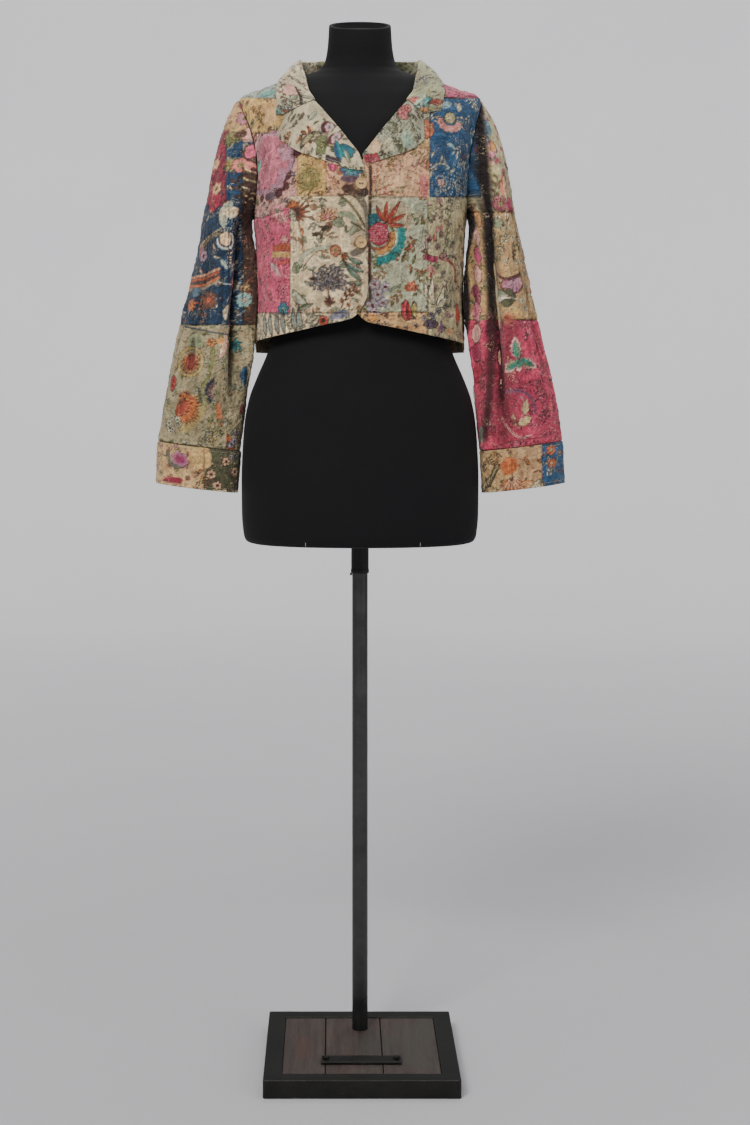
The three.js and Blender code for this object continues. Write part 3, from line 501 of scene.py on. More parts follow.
def collar_seam(at, side):
    """Where the collar is sewn on at one place, the way its stand rises, and the way off the neck."""
    hand = side["hand"]
    if at <= NECK_AT:
        seam = body_point(hand * lerp(np.pi, np.pi / 2, at / NECK_AT), float(NECK_Z))
        away = unit(np.array([seam[0], seam[1] * 1.2, 0]))
        lean = math.radians(COLLAR["lean"](at))
        return seam, UP * math.cos(lean) + away * math.sin(lean), away
    t = (at - NECK_AT) / (1 - NECK_AT)
    z = lerp(NECK_Z, GORGE[1], t)
    edge = lambda h: on_front(side, ROLL(h) + 1.5 * ease(0, 0.3, t), h, 0)  # noqa: E731
    seam = edge(z)
    run = unit(edge(min(z + 2, NECK_Z)) - edge(z - 2))
    normal = body_normal(hand * angle_at(ROLL(z), z), z)
    inward = unit(np.cross(run, normal))
    inward = -inward if inward[0] * hand > 0 else inward
    level = np.array([np.sign(seam[0]), 0, 0])
    lean = math.radians(COLLAR["lean"](NECK_AT))
    upright = UP * math.cos(lean) + level * math.sin(lean)
    rise = unit(lerp(upright, inward, ease(0, 1, t)))
    return seam, rise, unit(lerp(level, normal, ease(0, 0.8, t)))


def collar_section(at, side, stand_steps, fold_steps, leaf_steps):
    hand = side["hand"]
    seam, rise, away = collar_seam(at, side)
    out = unit(away - rise * (away @ rise))
    foot = seam + rise * lerp(2.2, LAYER, min(abs(at - NECK_AT - 0.02) / 0.12, 1))
    stand = COLLAR["stand"](at)
    points = [foot + rise * stand * u for u in np.linspace(0, 1, stand_steps + 1)]
    centre = foot + rise * stand + out * FOLD_RADIUS
    for u in np.linspace(0, np.pi, fold_steps + 1)[1:]:
        points.append(centre - out * FOLD_RADIUS * math.cos(u) + rise * FOLD_RADIUS * math.sin(u))
    start = points[-1]
    to_tip = ease(0.75, 1, at)
    edge_x = lerp(COLLAR["edge_x"](at), side["tip"][0], to_tip)
    edge_z = lerp(COLLAR["edge_z"](at), side["tip"][1], to_tip)
    angle = angle_at(edge_x, edge_z)
    angle = hand * (np.pi - angle if at < NECK_AT else angle)
    end = body_point(angle, edge_z) + body_normal(angle, edge_z) * COLLAR["edge_out"](at)
    laid = ease(0.7, 0.92, at)
    roll_z = lerp(NECK_Z, GORGE[1], (at - NECK_AT) / (1 - NECK_AT))
    roll_x = ROLL(roll_z)
    droop = 0.3 * np.linalg.norm(end - start)
    for u in np.linspace(0, 1, leaf_steps + 1)[1:]:
        bulge = droop * math.sin(np.pi * u)
        free = lerp(start, end, u) + out * bulge * 0.16 + rise * bulge * 0.12
        if laid > 0:
            at_notch = (side["notch"][0] - roll_x) / (edge_x - roll_x)
            dip = lerp(roll_z, edge_z, at_notch) - side["notch"][1]
            dip *= max(1 - abs(u - at_notch) / at_notch, 0) * ease(0.93, 1, at)
            x, z = lerp(roll_x, edge_x, u), lerp(roll_z, edge_z, u) - dip
            free = lerp(free, on_front(side, x, z, LAYER + 1.6 * (1 - u) + 1.2 * math.sin(np.pi * u)), laid)
        points.append(free)
    return points


def collar_surface(half, stand_steps, fold_steps, leaf_steps):
    at = np.linspace(0, 1, half + 1)
    steps = (stand_steps, fold_steps, leaf_steps)
    right = [collar_section(a, RIGHT, *steps) for a in at[1:][::-1]]
    return np.array(right + [collar_section(a, LEFT, *steps) for a in at])


def lapel_surface(side, up_rows, across):
    i = np.arange(len(side["edge"]))
    edge_x, edge_z = (through(i, [p[k] for p in side["edge"]]) for k in (0, 1))
    v = np.linspace(0, 1, up_rows + 1)[:, None]
    u = np.linspace(0, 1, across + 1)[None, :]
    z = lerp(side["root"][1], GORGE[1] - 0.8, v)
    x = lerp(side["root"][0], ROLL(z), ease(0, 0.15, v))
    last = len(i) - 1
    x, z = lerp(x, edge_x(v * last), u), lerp(z, edge_z(v * last), u)
    puff = 0.3 + 1.8 * np.sin(np.pi * np.minimum(u * 1.2, 1))
    return on_front(side, x, z, LAYER + puff + 0 * x)


# %% [markdown]
# ## Creases
#
# Washed cotton is never flat. Three sizes of crease are laid over one another: soft waves, sharp small
# creases, and puckers that pull in to each seam.


# %% Creases
def ridge(n):
    return 1 - 2 * np.abs(n) ** 0.8


def creases(u, v, seed, long=1.6):
    """How far the cloth stands off its smooth surface, in mm."""
    sway = noise(u / 60, v / 60, seed) * 9
    wide = noise((u + sway) / 26, v / (26 * long), seed + 1)
    small = ridge(noise((u - sway) / 11, v / (11 * long), seed + 2))
    tiny = ridge(noise(u / 5.5, (v + sway) / 6.5, seed + 3))
    off = 1.25 * wide + 0.85 * small + 0.32 * tiny
    return np.where(off < 0, 0.55 * off, 1.1 * off)


def lengths(points, row, column, hand=1, level=False):
    """Lengths along the cloth, in mm, from one row and one column: across it, and up it."""
    step = np.diff(points, axis=0)
    rise = np.hypot(step[..., 1], step[..., 2]) if level else np.linalg.norm(step, axis=-1)
    v = np.concatenate([np.zeros((1, rise.shape[1])), np.cumsum(rise, axis=0)])
    v = v - v[row]
    far = (np.diff(points, axis=1) ** 2).sum(-1) - np.diff(v, axis=1) ** 2
    u = np.concatenate(
        [np.zeros((len(points), 1)), np.cumsum(np.sqrt(np.maximum(far, 0.04)), axis=1)], axis=1
    )
    u = hand * (u - u[:, column : column + 1])
    return (u + points[:, column : column + 1, 0] if level else u), v


# %% [markdown]
# ## Printing the cloth
#
# The patches are block-printed with flowers, leaves and vines. Each motif is a short formula in its own
# small plane: how far a point of the cloth lies inside a petal or a leaf decides its colour. Outlines are
# kept apart, as a distance to the nearest ink line, so the material can draw them sharper than the mesh.


# %% The printing table
def tone(code):
    return np.array([int(code[k : k + 2], 16) / 255 for k in (0, 2, 4)])


PIGMENT = {
    "cream": "d6c5a5", "ivory": "ddd0b2", "sage": "a9ad98", "grey": "8f948a", "peach": "c79f80",
    "ochre": "bf9f66", "tan": "bd9f76", "fawn": "a88c66", "olive": "7d7a4e", "moss": "5f6a48",
    "leaf": "6d8064", "pink": "c47488", "rose": "bc4c6c", "crimson": "9c3048", "magenta": "8e3560",
    "red": "ab3f31", "rust": "a0523a", "orange": "c07744", "bloom": "b56c80", "flush": "e0708e",
    "brown": "4d3a33", "dark": "352d2c", "black": "1b1516", "blue": "2a4f76", "sky": "7f9aa6",
    "navy": "1f3046", "teal": "2b7f82", "aqua": "7aa9a0", "lilac": "8d849b", "violet": "6b5478",
    "green": "3f6b55", "white": "dcd6c8", "maroon": "6e2c3a",
}  # fmt: skip
SOFT_EDGE = 1.3  # mm over which a colour ends


def pigment(name):
    """A colour by name, or a mix such as 'cream*rust' at a half."""
    parts = name.split("*")
    return sum(tone(PIGMENT[p]) for p in parts) / len(parts)


def cover(distance, soft=SOFT_EDGE):
    return np.clip(0.5 - distance / soft, 0, 1)


class Print:
    """The colours and ink lines of one piece of cloth, at each point of its grid."""

    def __init__(self, points, normals, u, v, ground, seed):
        self.u, self.v, self.seed = u, v, seed
        self.x, self.y = seen_at(points)
        self.shown = ((np.array(VIEW["place"]) - points) * normals).sum(-1) > 0
        self.rgb = np.tile(pigment(ground), u.shape + (1,))
        self.ink = np.full(u.shape, -3.0)
        self.seam = np.full(u.shape, 60.0)
        self.inside = np.ones(u.shape, bool)
        self.draw = np.random.default_rng(seed)

    def spot(self, x, y):
        """The place on the cloth that is seen at this point of the front view."""
        away = (self.x - x) ** 2 + (self.y - y) ** 2 + np.where(self.shown, 0, 1e7)
        i = np.unravel_index(away.argmin(), away.shape)
        return self.u[i], self.v[i]

    # Regions -----------------------------------------------------------------
    def region(self, corners):
        """The points inside a polygon of the front view, and how far each point is from its sides."""
        c = np.array(corners, float)
        d = np.roll(c, -1, 0)
        inside = np.zeros(self.u.shape, bool)
        edge = np.full(self.u.shape, 1e6)
        for (x0, y0), (x1, y1) in zip(c, d):
            if y0 != y1:
                crossing = (y0 > self.y) != (y1 > self.y)
                inside ^= crossing & (self.x < (x1 - x0) * (self.y - y0) / (y1 - y0) + x0)
            long = max((x1 - x0) ** 2 + (y1 - y0) ** 2, 1e-9)
            t = np.clip(((self.x - x0) * (x1 - x0) + (self.y - y0) * (y1 - y0)) / long, 0, 1)
            edge = np.minimum(edge, np.hypot(self.x - x0 - t * (x1 - x0), self.y - y0 - t * (y1 - y0)))
        return inside & self.shown, edge * 1.5

    def patch(self, mask, ground, edge=None, drift=0.12):
        """Starts a patch: its ground colour, uneven as hand printing is, and the seam round it."""
        self.inside = mask
        self.rgb[mask] = pigment(ground)
        if edge is not None:
            self.seam = np.minimum(self.seam, np.where(self.shown, edge, 60))
            self.ink[mask] = np.maximum(self.ink[mask], -3)
        cloud = noise(self.u / 38, self.v / 38, self.seed + 11) + 0.5 * noise(
            self.u / 12, self.v / 12, self.seed + 12
        )
        self.rgb[mask] *= (1 + drift * 0.6 * cloud[mask])[:, None]
        self.ink[mask] = -3

    def box(self, u0, u1, v0, v1):
        """The points of a patch cut straight on the cloth, and how far each is from its sides."""
        mask = (self.u >= u0) & (self.u < u1) & (self.v >= v0) & (self.v < v1)
        out_u = np.maximum(u0 - self.u, self.u - u1)
        out_v = np.maximum(v0 - self.v, self.v - v1)
        edge = np.where(mask, -np.maximum(out_u, out_v), np.hypot(np.maximum(out_u, 0), np.maximum(out_v, 0)))
        return mask, edge

    def trail(self, *places):
        return [self.spot(x, y) for x, y in places]

    def near(self, x, y, across, up):
        """The points seen within an oval of the front view."""
        return (((self.x - x) / across) ** 2 + ((self.y - y) / up) ** 2 < 1) & self.shown

    # Marks -------------------------------------------------------------------
    def local(self, place, reach, turn=0.0):
        """The points round a place, in the motif's own plane, which points the way that turn says."""
        near = (np.abs(self.u - place[0]) < reach) & (np.abs(self.v - place[1]) < reach) & self.inside
        i = np.nonzero(near)
        du, dv = self.u[i] - place[0], self.v[i] - place[1]
        c, s = math.cos(math.radians(turn)), math.sin(math.radians(turn))
        return i, du * c + dv * s, dv * c - du * s

    def lay(self, i, share, colour):
        share = np.clip(share, 0, 1)[..., None]
        self.rgb[i] = self.rgb[i] * (1 - share) + colour * share
        self.ink[i] = np.where(share[..., 0] > 0.5, -3, self.ink[i])

    def line(self, i, distance, half=0.62):
        self.ink[i] = np.maximum(self.ink[i], np.maximum(half - distance, -3))

    def disc(self, place, r, colour, line=True):
        i, x, y = self.local(place, r + 3)
        d = np.hypot(x, y) - r
        self.lay(i, cover(d), pigment(colour))
        if line:
            self.line(i, np.abs(d))

    def blot(self, place, rx, ry, turn, colour, line=False):
        """An uneven round patch of colour."""
        i, x, y = self.local(place, max(rx, ry) * 1.25 + 3, turn)
        a = np.arctan2(y / ry, x / rx)
        edge = 1 + 0.16 * noise(np.cos(a) * 2 + place[0], np.sin(a) * 2 + place[1], self.seed + 3)
        rr = np.hypot(x / rx, y / ry)
        d = (rr - edge) * min(rx, ry)
        shade = 1 + 0.1 * noise(x / 4 + place[0], y / 4, self.seed + 4)
        self.lay(i, cover(d), pigment(colour) * shade[:, None])
        if line:
            self.line(i, np.abs(d), 0.7)

    def band(self, place, long, wide, turn, colour):
        """A short straight strip of colour with printed edges."""
        i, x, y = self.local(place, long + wide, turn)
        sway = 1.2 * noise(x / 9, place[1], self.seed + 6)
        d = np.maximum(np.abs(y + sway) - wide / 2, np.abs(x) - long / 2)
        self.lay(i, cover(d), pigment(colour))
        self.line(i, np.where(np.abs(x) < long / 2, np.abs(d), 9), 0.45)

    def ring(self, place, r, wide, turn, spread, colour, teeth=0):
        """Part of a ring, perhaps with teeth on its outer edge."""
        i, x, y = self.local(place, r + wide + 4, turn)
        rr, a = np.hypot(x, y), np.degrees(np.arctan2(y, x))
        grow = wide * 0.3 * np.abs(np.sin(np.radians(a) * teeth)) if teeth else 0
        d = np.maximum(
            np.abs(rr - r - grow / 2) - wide / 2 - grow / 2, (np.abs(a) - spread / 2) * rr * 0.0175
        )
        self.lay(i, cover(d), pigment(colour))
        self.line(i, np.abs(d), 0.5)

    def flower(
        self, place, r, petals=6, tones=("pink", "rose"), heart="ochre", turn=0, notch=0.24, core=0.28,
        squash=1
    ):
        """Round petals that darken outwards or inwards, with dividing lines and a dotted heart."""
        i, x, y = self.local(place, r * 1.15 + 3, turn)
        y = y / squash
        rr, a = np.hypot(x, y), np.arctan2(y, x)
        edge = r * (1 - notch + notch * np.abs(np.cos(a * petals / 2)) ** 0.6)
        d = rr - edge
        t = np.clip(rr / edge, 0, 1)[..., None]
        colour = lerp(pigment(tones[0]), pigment(tones[-1]), t**1.6)
        if len(tones) > 2:
            colour = np.where(t > 0.82, pigment(tones[1]), colour)
        self.lay(i, cover(d), colour)
        off = np.abs((a * petals / (2 * np.pi)) % 1 - 0.5) * 2 * np.pi / petals * rr
        inside = (d < 0) & (rr > core * r)
        self.line(i, np.where(inside, off, 9), 0.45)
        veins = np.abs((a * petals * 3 / (2 * np.pi)) % 1 - 0.5) * 2 * np.pi / (3 * petals) * rr
        self.line(i, np.where((d < -r * 0.12) & (rr > 0.62 * r) & (r > 12), veins, 9), 0.25)
        self.line(i, np.abs(d))
        if core > 0:
            self.lay(i, cover(rr - core * r), pigment(heart))
            self.line(i, np.abs(rr - core * r), 0.5)
            dots = np.hypot((x / 2.6 + 0.5) % 1 - 0.5, (y / 2.6 + 0.5) % 1 - 0.5) * 2.6
            self.line(i, np.where(rr < core * r * 0.8, dots, 9), 0.55)

    def leaf(self, place, long, wide, turn, tones=("leaf", "sage"), teeth=0, bend=0.0, vein=True, line=0.5):
        i, x, y = self.local(place, long * 1.1 + 3, turn)
        t = np.clip(x / long, 0, 1)
        y = y - bend * long * np.sin(np.pi * t)
        half = wide / 2 * np.sin(np.pi * t**0.8) ** 0.8
        if teeth:
            half = half * (1 - 0.3 * np.abs(np.sin(np.pi * teeth * t)))
        tip = np.hypot(x - long * t, y)
        d = np.where((x > 0) & (x < long), (np.abs(y) - half) * 0.9, tip)
        self.lay(i, cover(d), np.where((y > 0)[:, None], pigment(tones[0]), pigment(tones[-1])))
        self.line(i, np.abs(d), line)
        if vein:
            self.line(i, np.where((x > 0) & (x < 0.85 * long), np.abs(y), 9), 0.3)

    def fan(self, place, long, count, spread, turn, tones=("rust", "orange"), wide=None, halo=None):
        """Feathers that spread from one point."""
        if halo:
            i, x, y = self.local(place, long * 1.2, turn)
            a = np.degrees(np.arctan2(y, x))
            d = np.maximum(np.hypot(x, y) - long * 1.08, (np.abs(a) - spread / 2 - 8) * 0.3)
            self.lay(i, cover(d) * 0.75, pigment(halo))
        wide = wide or long * 2.2 * math.radians(spread) / max(count, 2) / 2
        for k in range(count):
            share = k / max(count - 1, 1) - 0.5
            reach = long * (1 - 0.22 * abs(share) * 2) * self.draw.uniform(0.92, 1.05)
            self.leaf(place, reach, wide, turn + spread * share, tones, bend=0.12 * share, vein=count < 9)

    def curve(self, marks, count=12):
        """A smooth line through some places, as a row of places."""
        m = np.array(marks, float)
        m = np.concatenate([2 * m[:1] - m[1:2], m, 2 * m[-1:] - m[-2:-1]])
        out = []
        for a, b, c, d in zip(m, m[1:], m[2:], m[3:]):
            for t in np.linspace(0, 1, count, endpoint=False):
                out.append(
                    0.5 * (
                        2 * b + (c - a) * t + (
                            2 * a - 5 * b + 4 * c - d
                        ) * t**2 + (3 * b - a - 3 * c + d) * t**3
                    )
                )
        return np.array(out + [m[-2]])

    def stem(self, marks, wide=1.6, colour="brown", outline=False, taper=0.6, soft=SOFT_EDGE):
        """A drawn line along some places."""
        path = self.curve(marks)
        low, high = path.min(0) - wide - soft - 3, path.max(0) + wide + soft + 3
        near = (self.u > low[0]) & (self.u < high[0]) & (self.v > low[1]) & (self.v < high[1]) & self.inside
        i = np.nonzero(near)
        px, py = self.u[i], self.v[i]
        best, where = np.full(px.shape, 1e6), np.zeros(px.shape)
        for k, (a, b) in enumerate(zip(path, path[1:])):
            along = b - a
            t = np.clip(((px - a[0]) * along[0] + (py - a[1]) * along[1]) / max(along @ along, 1e-9), 0, 1)
            d = np.hypot(px - a[0] - t * along[0], py - a[1] - t * along[1])
            where = np.where(d < best, (k + t) / len(path), where)
            best = np.minimum(best, d)
        half = wide / 2 * lerp(1, 1 - taper, where)
        if wide > 1.5:
            self.lay(i, cover(best - half, soft), pigment(colour))
        if outline:
            self.line(i, np.abs(best - half), 0.45)
        elif wide <= 1.5:
            self.line(i, best, wide / 2)
        return path

    def sprig(
        self, marks, leaf=(9, 4), count=7, tones=("leaf", "sage"), wide=1.0, colour="brown", open_angle=48,
        end=None
    ):
        """A stem with leaves to both sides, and perhaps a flower at its end."""
        path = self.stem(marks, wide, colour)
        for k in range(count):
            t = (k + 1) / (count + 0.5)
            j = min(int(t * (len(path) - 1)), len(path) - 2)
            way = math.degrees(math.atan2(*(path[j + 1] - path[j])[::-1]))
            side = 1 if k % 2 else -1
            size = leaf[0] * self.draw.uniform(0.8, 1.15)
            self.leaf(
                path[j], size, leaf[1], way + side * open_angle, tones, bend=0.1 * side, vein=leaf[1] > 4
            )
        if end:
            self.flower(path[-1], **end)

    def beads(self, marks, r, colour, gap=1.5):
        """Scallops along a line."""
        path = self.curve(marks, 30)
        run = np.concatenate([[0], np.cumsum(np.hypot(*np.diff(path, axis=0).T))])
        for s in np.arange(0, run[-1], r * gap):
            self.disc(
                (np.interp(s, run, path[:, 0]), np.interp(s, run, path[:, 1])),
                r * self.draw.uniform(0.85, 1.15), colour
            )

    def dots(self, spacing, r, colour, share=1.0, oval=None):
        """Small dots scattered over the patch."""
        cu, cv = np.floor(self.u / spacing), np.floor(self.v / spacing)
        key = (cu * 92821 + cv * 68917 + self.seed * 131).astype(np.int64) % 9973
        luck = np.random.default_rng(self.seed + 5).random((9973, 3))
        jitter = luck[key]
        d = np.hypot(
            self.u - (cu + 0.25 + 0.5 * jitter[..., 0]) * spacing,
            self.v - (cv + 0.25 + 0.5 * jitter[..., 1]) * spacing
        )
        on = self.inside & (jitter[..., 2] < share) & (d < r + SOFT_EDGE)
        on = on if oval is None else on & oval
        i = np.nonzero(on)
        self.lay(i, cover(d[i] - r), pigment(colour))

    def tulip(self, place, size, turn, tones=("red", "orange")):
        for off, k in ((-26, 0), (26, 0), (0, 1)):
            self.leaf(
                place, size * (1 + 0.1 * k), size * 0.42, turn + off, (tones[k % len(tones)], tones[-1]),
                vein=False
            )

    def cluster(self, place, reach, count, r, tones, heart="ochre"):
        """A loose head of small flowers."""
        for _ in range(count):
            a, far = self.draw.uniform(0, 2 * np.pi), reach * self.draw.uniform(0, 1) ** 0.6
            spot = (place[0] + far * math.cos(a), place[1] + far * math.sin(a))
            self.flower(spot, r * self.draw.uniform(0.75, 1.25), 5, tones, heart, self.draw.uniform(0, 90))

    def posy(self, place, size, tones):
        """One large block: a bloom with leaves, a feathered fan, or a spray that ends in a flower."""
        place = np.array(place) + self.draw.uniform(-0.3, 0.3, 2) * size
        kind, way = self.draw.integers(3), self.draw.uniform(0, 360)
        turn = np.array([math.cos(math.radians(way)), math.sin(math.radians(way))])
        side = np.array([-turn[1], turn[0]])
        if kind == 0:
            for k in range(4):
                self.leaf(place, size, size * 0.4, way + 90 * k, (tones[1], tones[2]), teeth=4, bend=0.12)
            self.flower(place, size * 0.5, 8, (tones[0], tones[1]), "ochre", way, 0.25)
        elif kind == 1:
            self.fan(place - turn * size * 0.4, size * 1.1, 9, 130, way, (tones[0], tones[2]), halo=tones[1])
            self.blot(place - turn * size * 0.4, size * 0.2, size * 0.2, 0, tones[0], True)
        else:
            marks = [
                place - turn * size, place - turn * size * 0.2 + side * size * 0.35, place + turn * size * 0.6
            ]
            end = {"r": size * 0.36, "petals": 7, "tones": (tones[0], tones[2]), "turn": way}
            self.sprig(marks, (size * 0.42, size * 0.19), 9, (tones[1], tones[2]), 1.6, end=end)

    def scatter(self, spacing, kinds, tones, size=1.0, keep=0.85):
        """Fills a patch with small sprigs, leaves and flowers, none in the same place."""
        if not self.inside.any():
            return
        u, v = self.u[self.inside], self.v[self.inside]
        for cu in np.arange(u.min(), u.max() + spacing, spacing):
            for cv in np.arange(v.min(), v.max() + spacing, spacing):
                place = np.array([cu, cv]) + self.draw.uniform(-0.4, 0.4, 2) * spacing
                kind, luck, way = self.draw.choice(kinds), self.draw.random(), self.draw.uniform(0, 360)
                pick = [tones[k] for k in self.draw.permutation(len(tones))[:2]]
                if luck > keep:
                    continue
                turn = np.array([math.cos(math.radians(way)), math.sin(math.radians(way))])
                side = np.array([-turn[1], turn[0]])
                s = size * spacing
                if kind == "sprig":
                    marks = [place - turn * s * 0.5, place + side * s * 0.12, place + turn * s * 0.5]
                    self.sprig(marks, (s * 0.34, s * 0.15), 6, pick, 0.9)
                elif kind == "vine":
                    marks = [place - turn * s * 0.7, place - turn * s * 0.2 + side * s * 0.25]
                    marks += [place + turn * s * 0.2 - side * s * 0.25, place + turn * s * 0.7]
                    self.sprig(marks, (s * 0.22, s * 0.1), 9, pick, 1.0)
                elif kind == "flower":
                    self.flower(place, s * 0.26, int(self.draw.integers(5, 9)), pick, "ochre", way)
                elif kind == "leaf":
                    self.leaf(place, s * 0.62, s * 0.24, way, pick, teeth=5, bend=0.1)
                elif kind == "fan":
                    self.fan(place, s * 0.5, 5, 110, way, pick)
                elif kind == "curl":
                    a = np.linspace(0, 4.6, 9)
                    marks = [
                        place + s * 0.3 * (1 - t / 7) * np.array(
                            [math.cos(t + way), math.sin(t + way)]
                        ) for t in a
                    ]
                    self.stem(marks, 1.1, "brown")


def dress(piece, cloth, lining="cream"):
    """Gives a piece its print: colours, ink distance and lengths along the cloth, on the fine side and the coarse."""
    mesh = piece.data
    rows, columns = cloth.u.shape
    linear = np.where(
        cloth.rgb <= 0.04045, cloth.rgb / 12.92, ((np.clip(cloth.rgb, 0, 1) + 0.055) / 1.055) ** 2.4
    )
    pale = pigment(lining) ** 2.2
    behind = lerp(linear[::4, ::4], pale, 0.55)
    both = np.concatenate([linear.reshape(-1, 3), behind.reshape(-1, 3)])
    colour = mesh.attributes.new("print", "FLOAT_COLOR", "POINT")
    colour.data.foreach_set(
        "color", np.concatenate([both, np.ones((len(both), 1))], 1).astype(np.float32).ravel()
    )
    ink = np.concatenate([cloth.ink.ravel(), np.full(behind[..., 0].size, -3.0)])
    mesh.attributes.new("ink", "FLOAT", "POINT").data.foreach_set("value", ink.astype(np.float32))
    # The painted crease shade: darker in the valleys of creases and folds, lighter on their ridges, partly wear and
    # partly painted light. Only the outer side has it.
    wear = np.concatenate([cloth.wear.ravel(), np.zeros(behind[..., 0].size)])
    mesh.attributes.new("wear", "FLOAT", "POINT").data.foreach_set("value", wear.astype(np.float32))
    place = stack(cloth.u, cloth.v, cloth.seed) * MM
    place = np.concatenate([place.reshape(-1, 3), place[::4, ::4].reshape(-1, 3)])
    mesh.attributes.new("cloth", "FLOAT_VECTOR", "POINT").data.foreach_set(
        "vector", place.astype(np.float32).ravel()
    )
    return piece


# %% [markdown]
# ## Cloth pieces
#
# A piece starts as its smooth surface. The print is laid on it, then the creases move it, and then it
# becomes a closed wall with its own colours.


# %% From surface to piece
FRONT_STEP, BACK_STEP, SLEEVE_STEP = 1.35, 2.1, 1.65
PIECES = {}
SEWN = []  # lines of stitches, in mm


def from_edge(points, sides):
    """How far each point of a grid is from the named sides of the grid, in mm."""
    across = np.linalg.norm(np.diff(points, axis=1), axis=-1)
    along = np.linalg.norm(np.diff(points, axis=0), axis=-1)
    run = np.concatenate([np.zeros((len(points), 1)), np.cumsum(across, axis=1)], 1)
    rise = np.concatenate([np.zeros((1, points.shape[1])), np.cumsum(along, axis=0)])
    far = {"start": run, "end": run[:, -1:] - run, "low": rise, "high": rise[-1:] - rise}
    return np.min([far[s] for s in sides], axis=0)


def beside(points, side, far):
    """A line along the cloth, a given length from one side of its grid: places, as (row, column) with fractions."""
    run = from_edge(points, [side])
    rows, columns = run.shape
    if side in ("low", "high"):
        line = [
            np.interp(
                far,
                *((run[:, c], np.arange(rows)) if side == "low" else (run[::-1, c], np.arange(rows)[::-1]))
            ) for c in range(columns)
        ]
        return np.column_stack([line, np.arange(columns)])
    line = [
        np.interp(
            far,
            *((run[r], np.arange(columns)) if side == "start" else (run[r, ::-1], np.arange(columns)[::-1]))
        ) for r in range(rows)
    ]
    return np.column_stack([np.arange(rows), line])


def on_grid(grid, places):
    """Values of a grid at places between its points."""
    i, j = (np.clip(np.floor(places[:, k]).astype(int), 0, grid.shape[k] - 2) for k in (0, 1))
    a, b = (places[:, k, None] - (i, j)[k][:, None] for k in (0, 1))
    low = grid[i, j] * (1 - b) + grid[i, j + 1] * b
    return low * (1 - a) + (grid[i + 1, j] * (1 - b) + grid[i + 1, j + 1] * b) * a


def spread(grid, reach, ring):
    """A grid evened out over a few steps each way."""
    for axis in (0, 1):
        wide = [(0, 0)] * 3
        wide[axis] = (reach + 1, reach)
        total = np.cumsum(np.pad(grid, wide, "wrap" if ring and axis == 1 else "edge"), axis=axis)
        total = np.moveaxis(total, axis, 0)
        grid = np.moveaxis((total[2 * reach + 1 :] - total[: -2 * reach - 1]) / (2 * reach + 1), 0, axis)
    return grid


def make_cloth(
    name, points, normals, cloth, depth, thick=CLOTH, ring=False, long=1.6, still=None, joint=None, sewn=()
):
    """Creases a printed surface and closes it into a piece; sewn gives its lines of stitches as side and distance."""
    joint = cloth.seam if joint is None else np.minimum(cloth.seam, joint)
    sewn_near = np.full(cloth.u.shape, 60.0)
    for edge, far in sewn:
        sewn_near = np.minimum(sewn_near, np.abs(from_edge(points, [edge]) - far))
    off = creases(cloth.u, cloth.v, cloth.seed, long) * depth
    pull = ridge(noise(cloth.u / 4.5, cloth.v / 4.5, cloth.seed + 7))
    off = off * (1 - 0.8 * bell(joint, 2.5)) + (
        0.8 * pull * bell(joint - 4, 4) - 0.8 * bell(joint, 1.4)
    ) * depth
    if still is not None:
        off = off * ease(0, 9, still)
    pull = noise(cloth.u / 3.2, cloth.v / 3.2, cloth.seed + 8)
    off = off + (0.35 * pull * bell(sewn_near - 3, 3) - 0.5 * bell(sewn_near, 1.3)) * min(depth, 1)
    moved = points + normals * off[..., None]
    # How far each point stands above its neighbours, at four sizes. The material uses it as painted shade in the
    # valleys of creases and folds, and lightens the ridges, partly as wear and partly as painted light.
    lifted = [((moved - spread(moved, reach, ring)) * normals).sum(-1) for reach in (1, 3, 9, 24)]
    cloth.wear = np.clip(lifted[0] * 0.9 + lifted[1] * 0.35 + lifted[2] * 0.2 + lifted[3] * 0.09, -1, 1)
    for edge, far in sewn:
        line = beside(points, edge, far)
        out = on_grid(moved, line) + on_grid(normals, line) * 0.12
        SEWN.append(out if not ring or edge in ("start", "end") else np.concatenate([out, out[:1]]))
    thick_in = np.maximum(thick + 0.6 * off, 0.8)
    piece = shell(name, moved, normals, thick, ring, 4, thick_in)
    dress(piece, cloth)
    PIECES[name] = piece
    area = sum(f.area for f in piece.data.polygons) / 2
    print(f"{name}: {cloth.u.size} points, creases {off.min():.1f} to {off.max():.1f} mm, area {area:.4f} m2")
    return moved


def coarse_multiple(count):
    return int(round(count / 4)) * 4

# %% [markdown]
# ## What is printed where
#
# Places are given as they are seen from the front, in steps of the camera's picture. Patches come first,
# then the large flowers that show, and small sprigs fill what is left.


# %% Patch tables
def lay_patches(cloth, patches):
    """A row a patch: ground, corners in the front view (two for a box), spacing, kinds and tones of its filling."""
    cloth.seam[cloth.shown] = 60
    for row in patches.strip().splitlines():
        ground, places, spacing, kinds, tones = row.split()
        corners = [[float(n) for n in place.split(",")] for place in places.split(">")]
        if len(corners) == 2:
            (x0, y0), (x1, y1) = corners
            corners = [(x0, y0), (x1, y0), (x1, y1), (x0, y1)]
        mask, edge = cloth.region(corners)
        cloth.patch(mask, ground, edge)
        if float(spacing):
            cloth.scatter(float(spacing), kinds.split("/"), tones.split("/"))


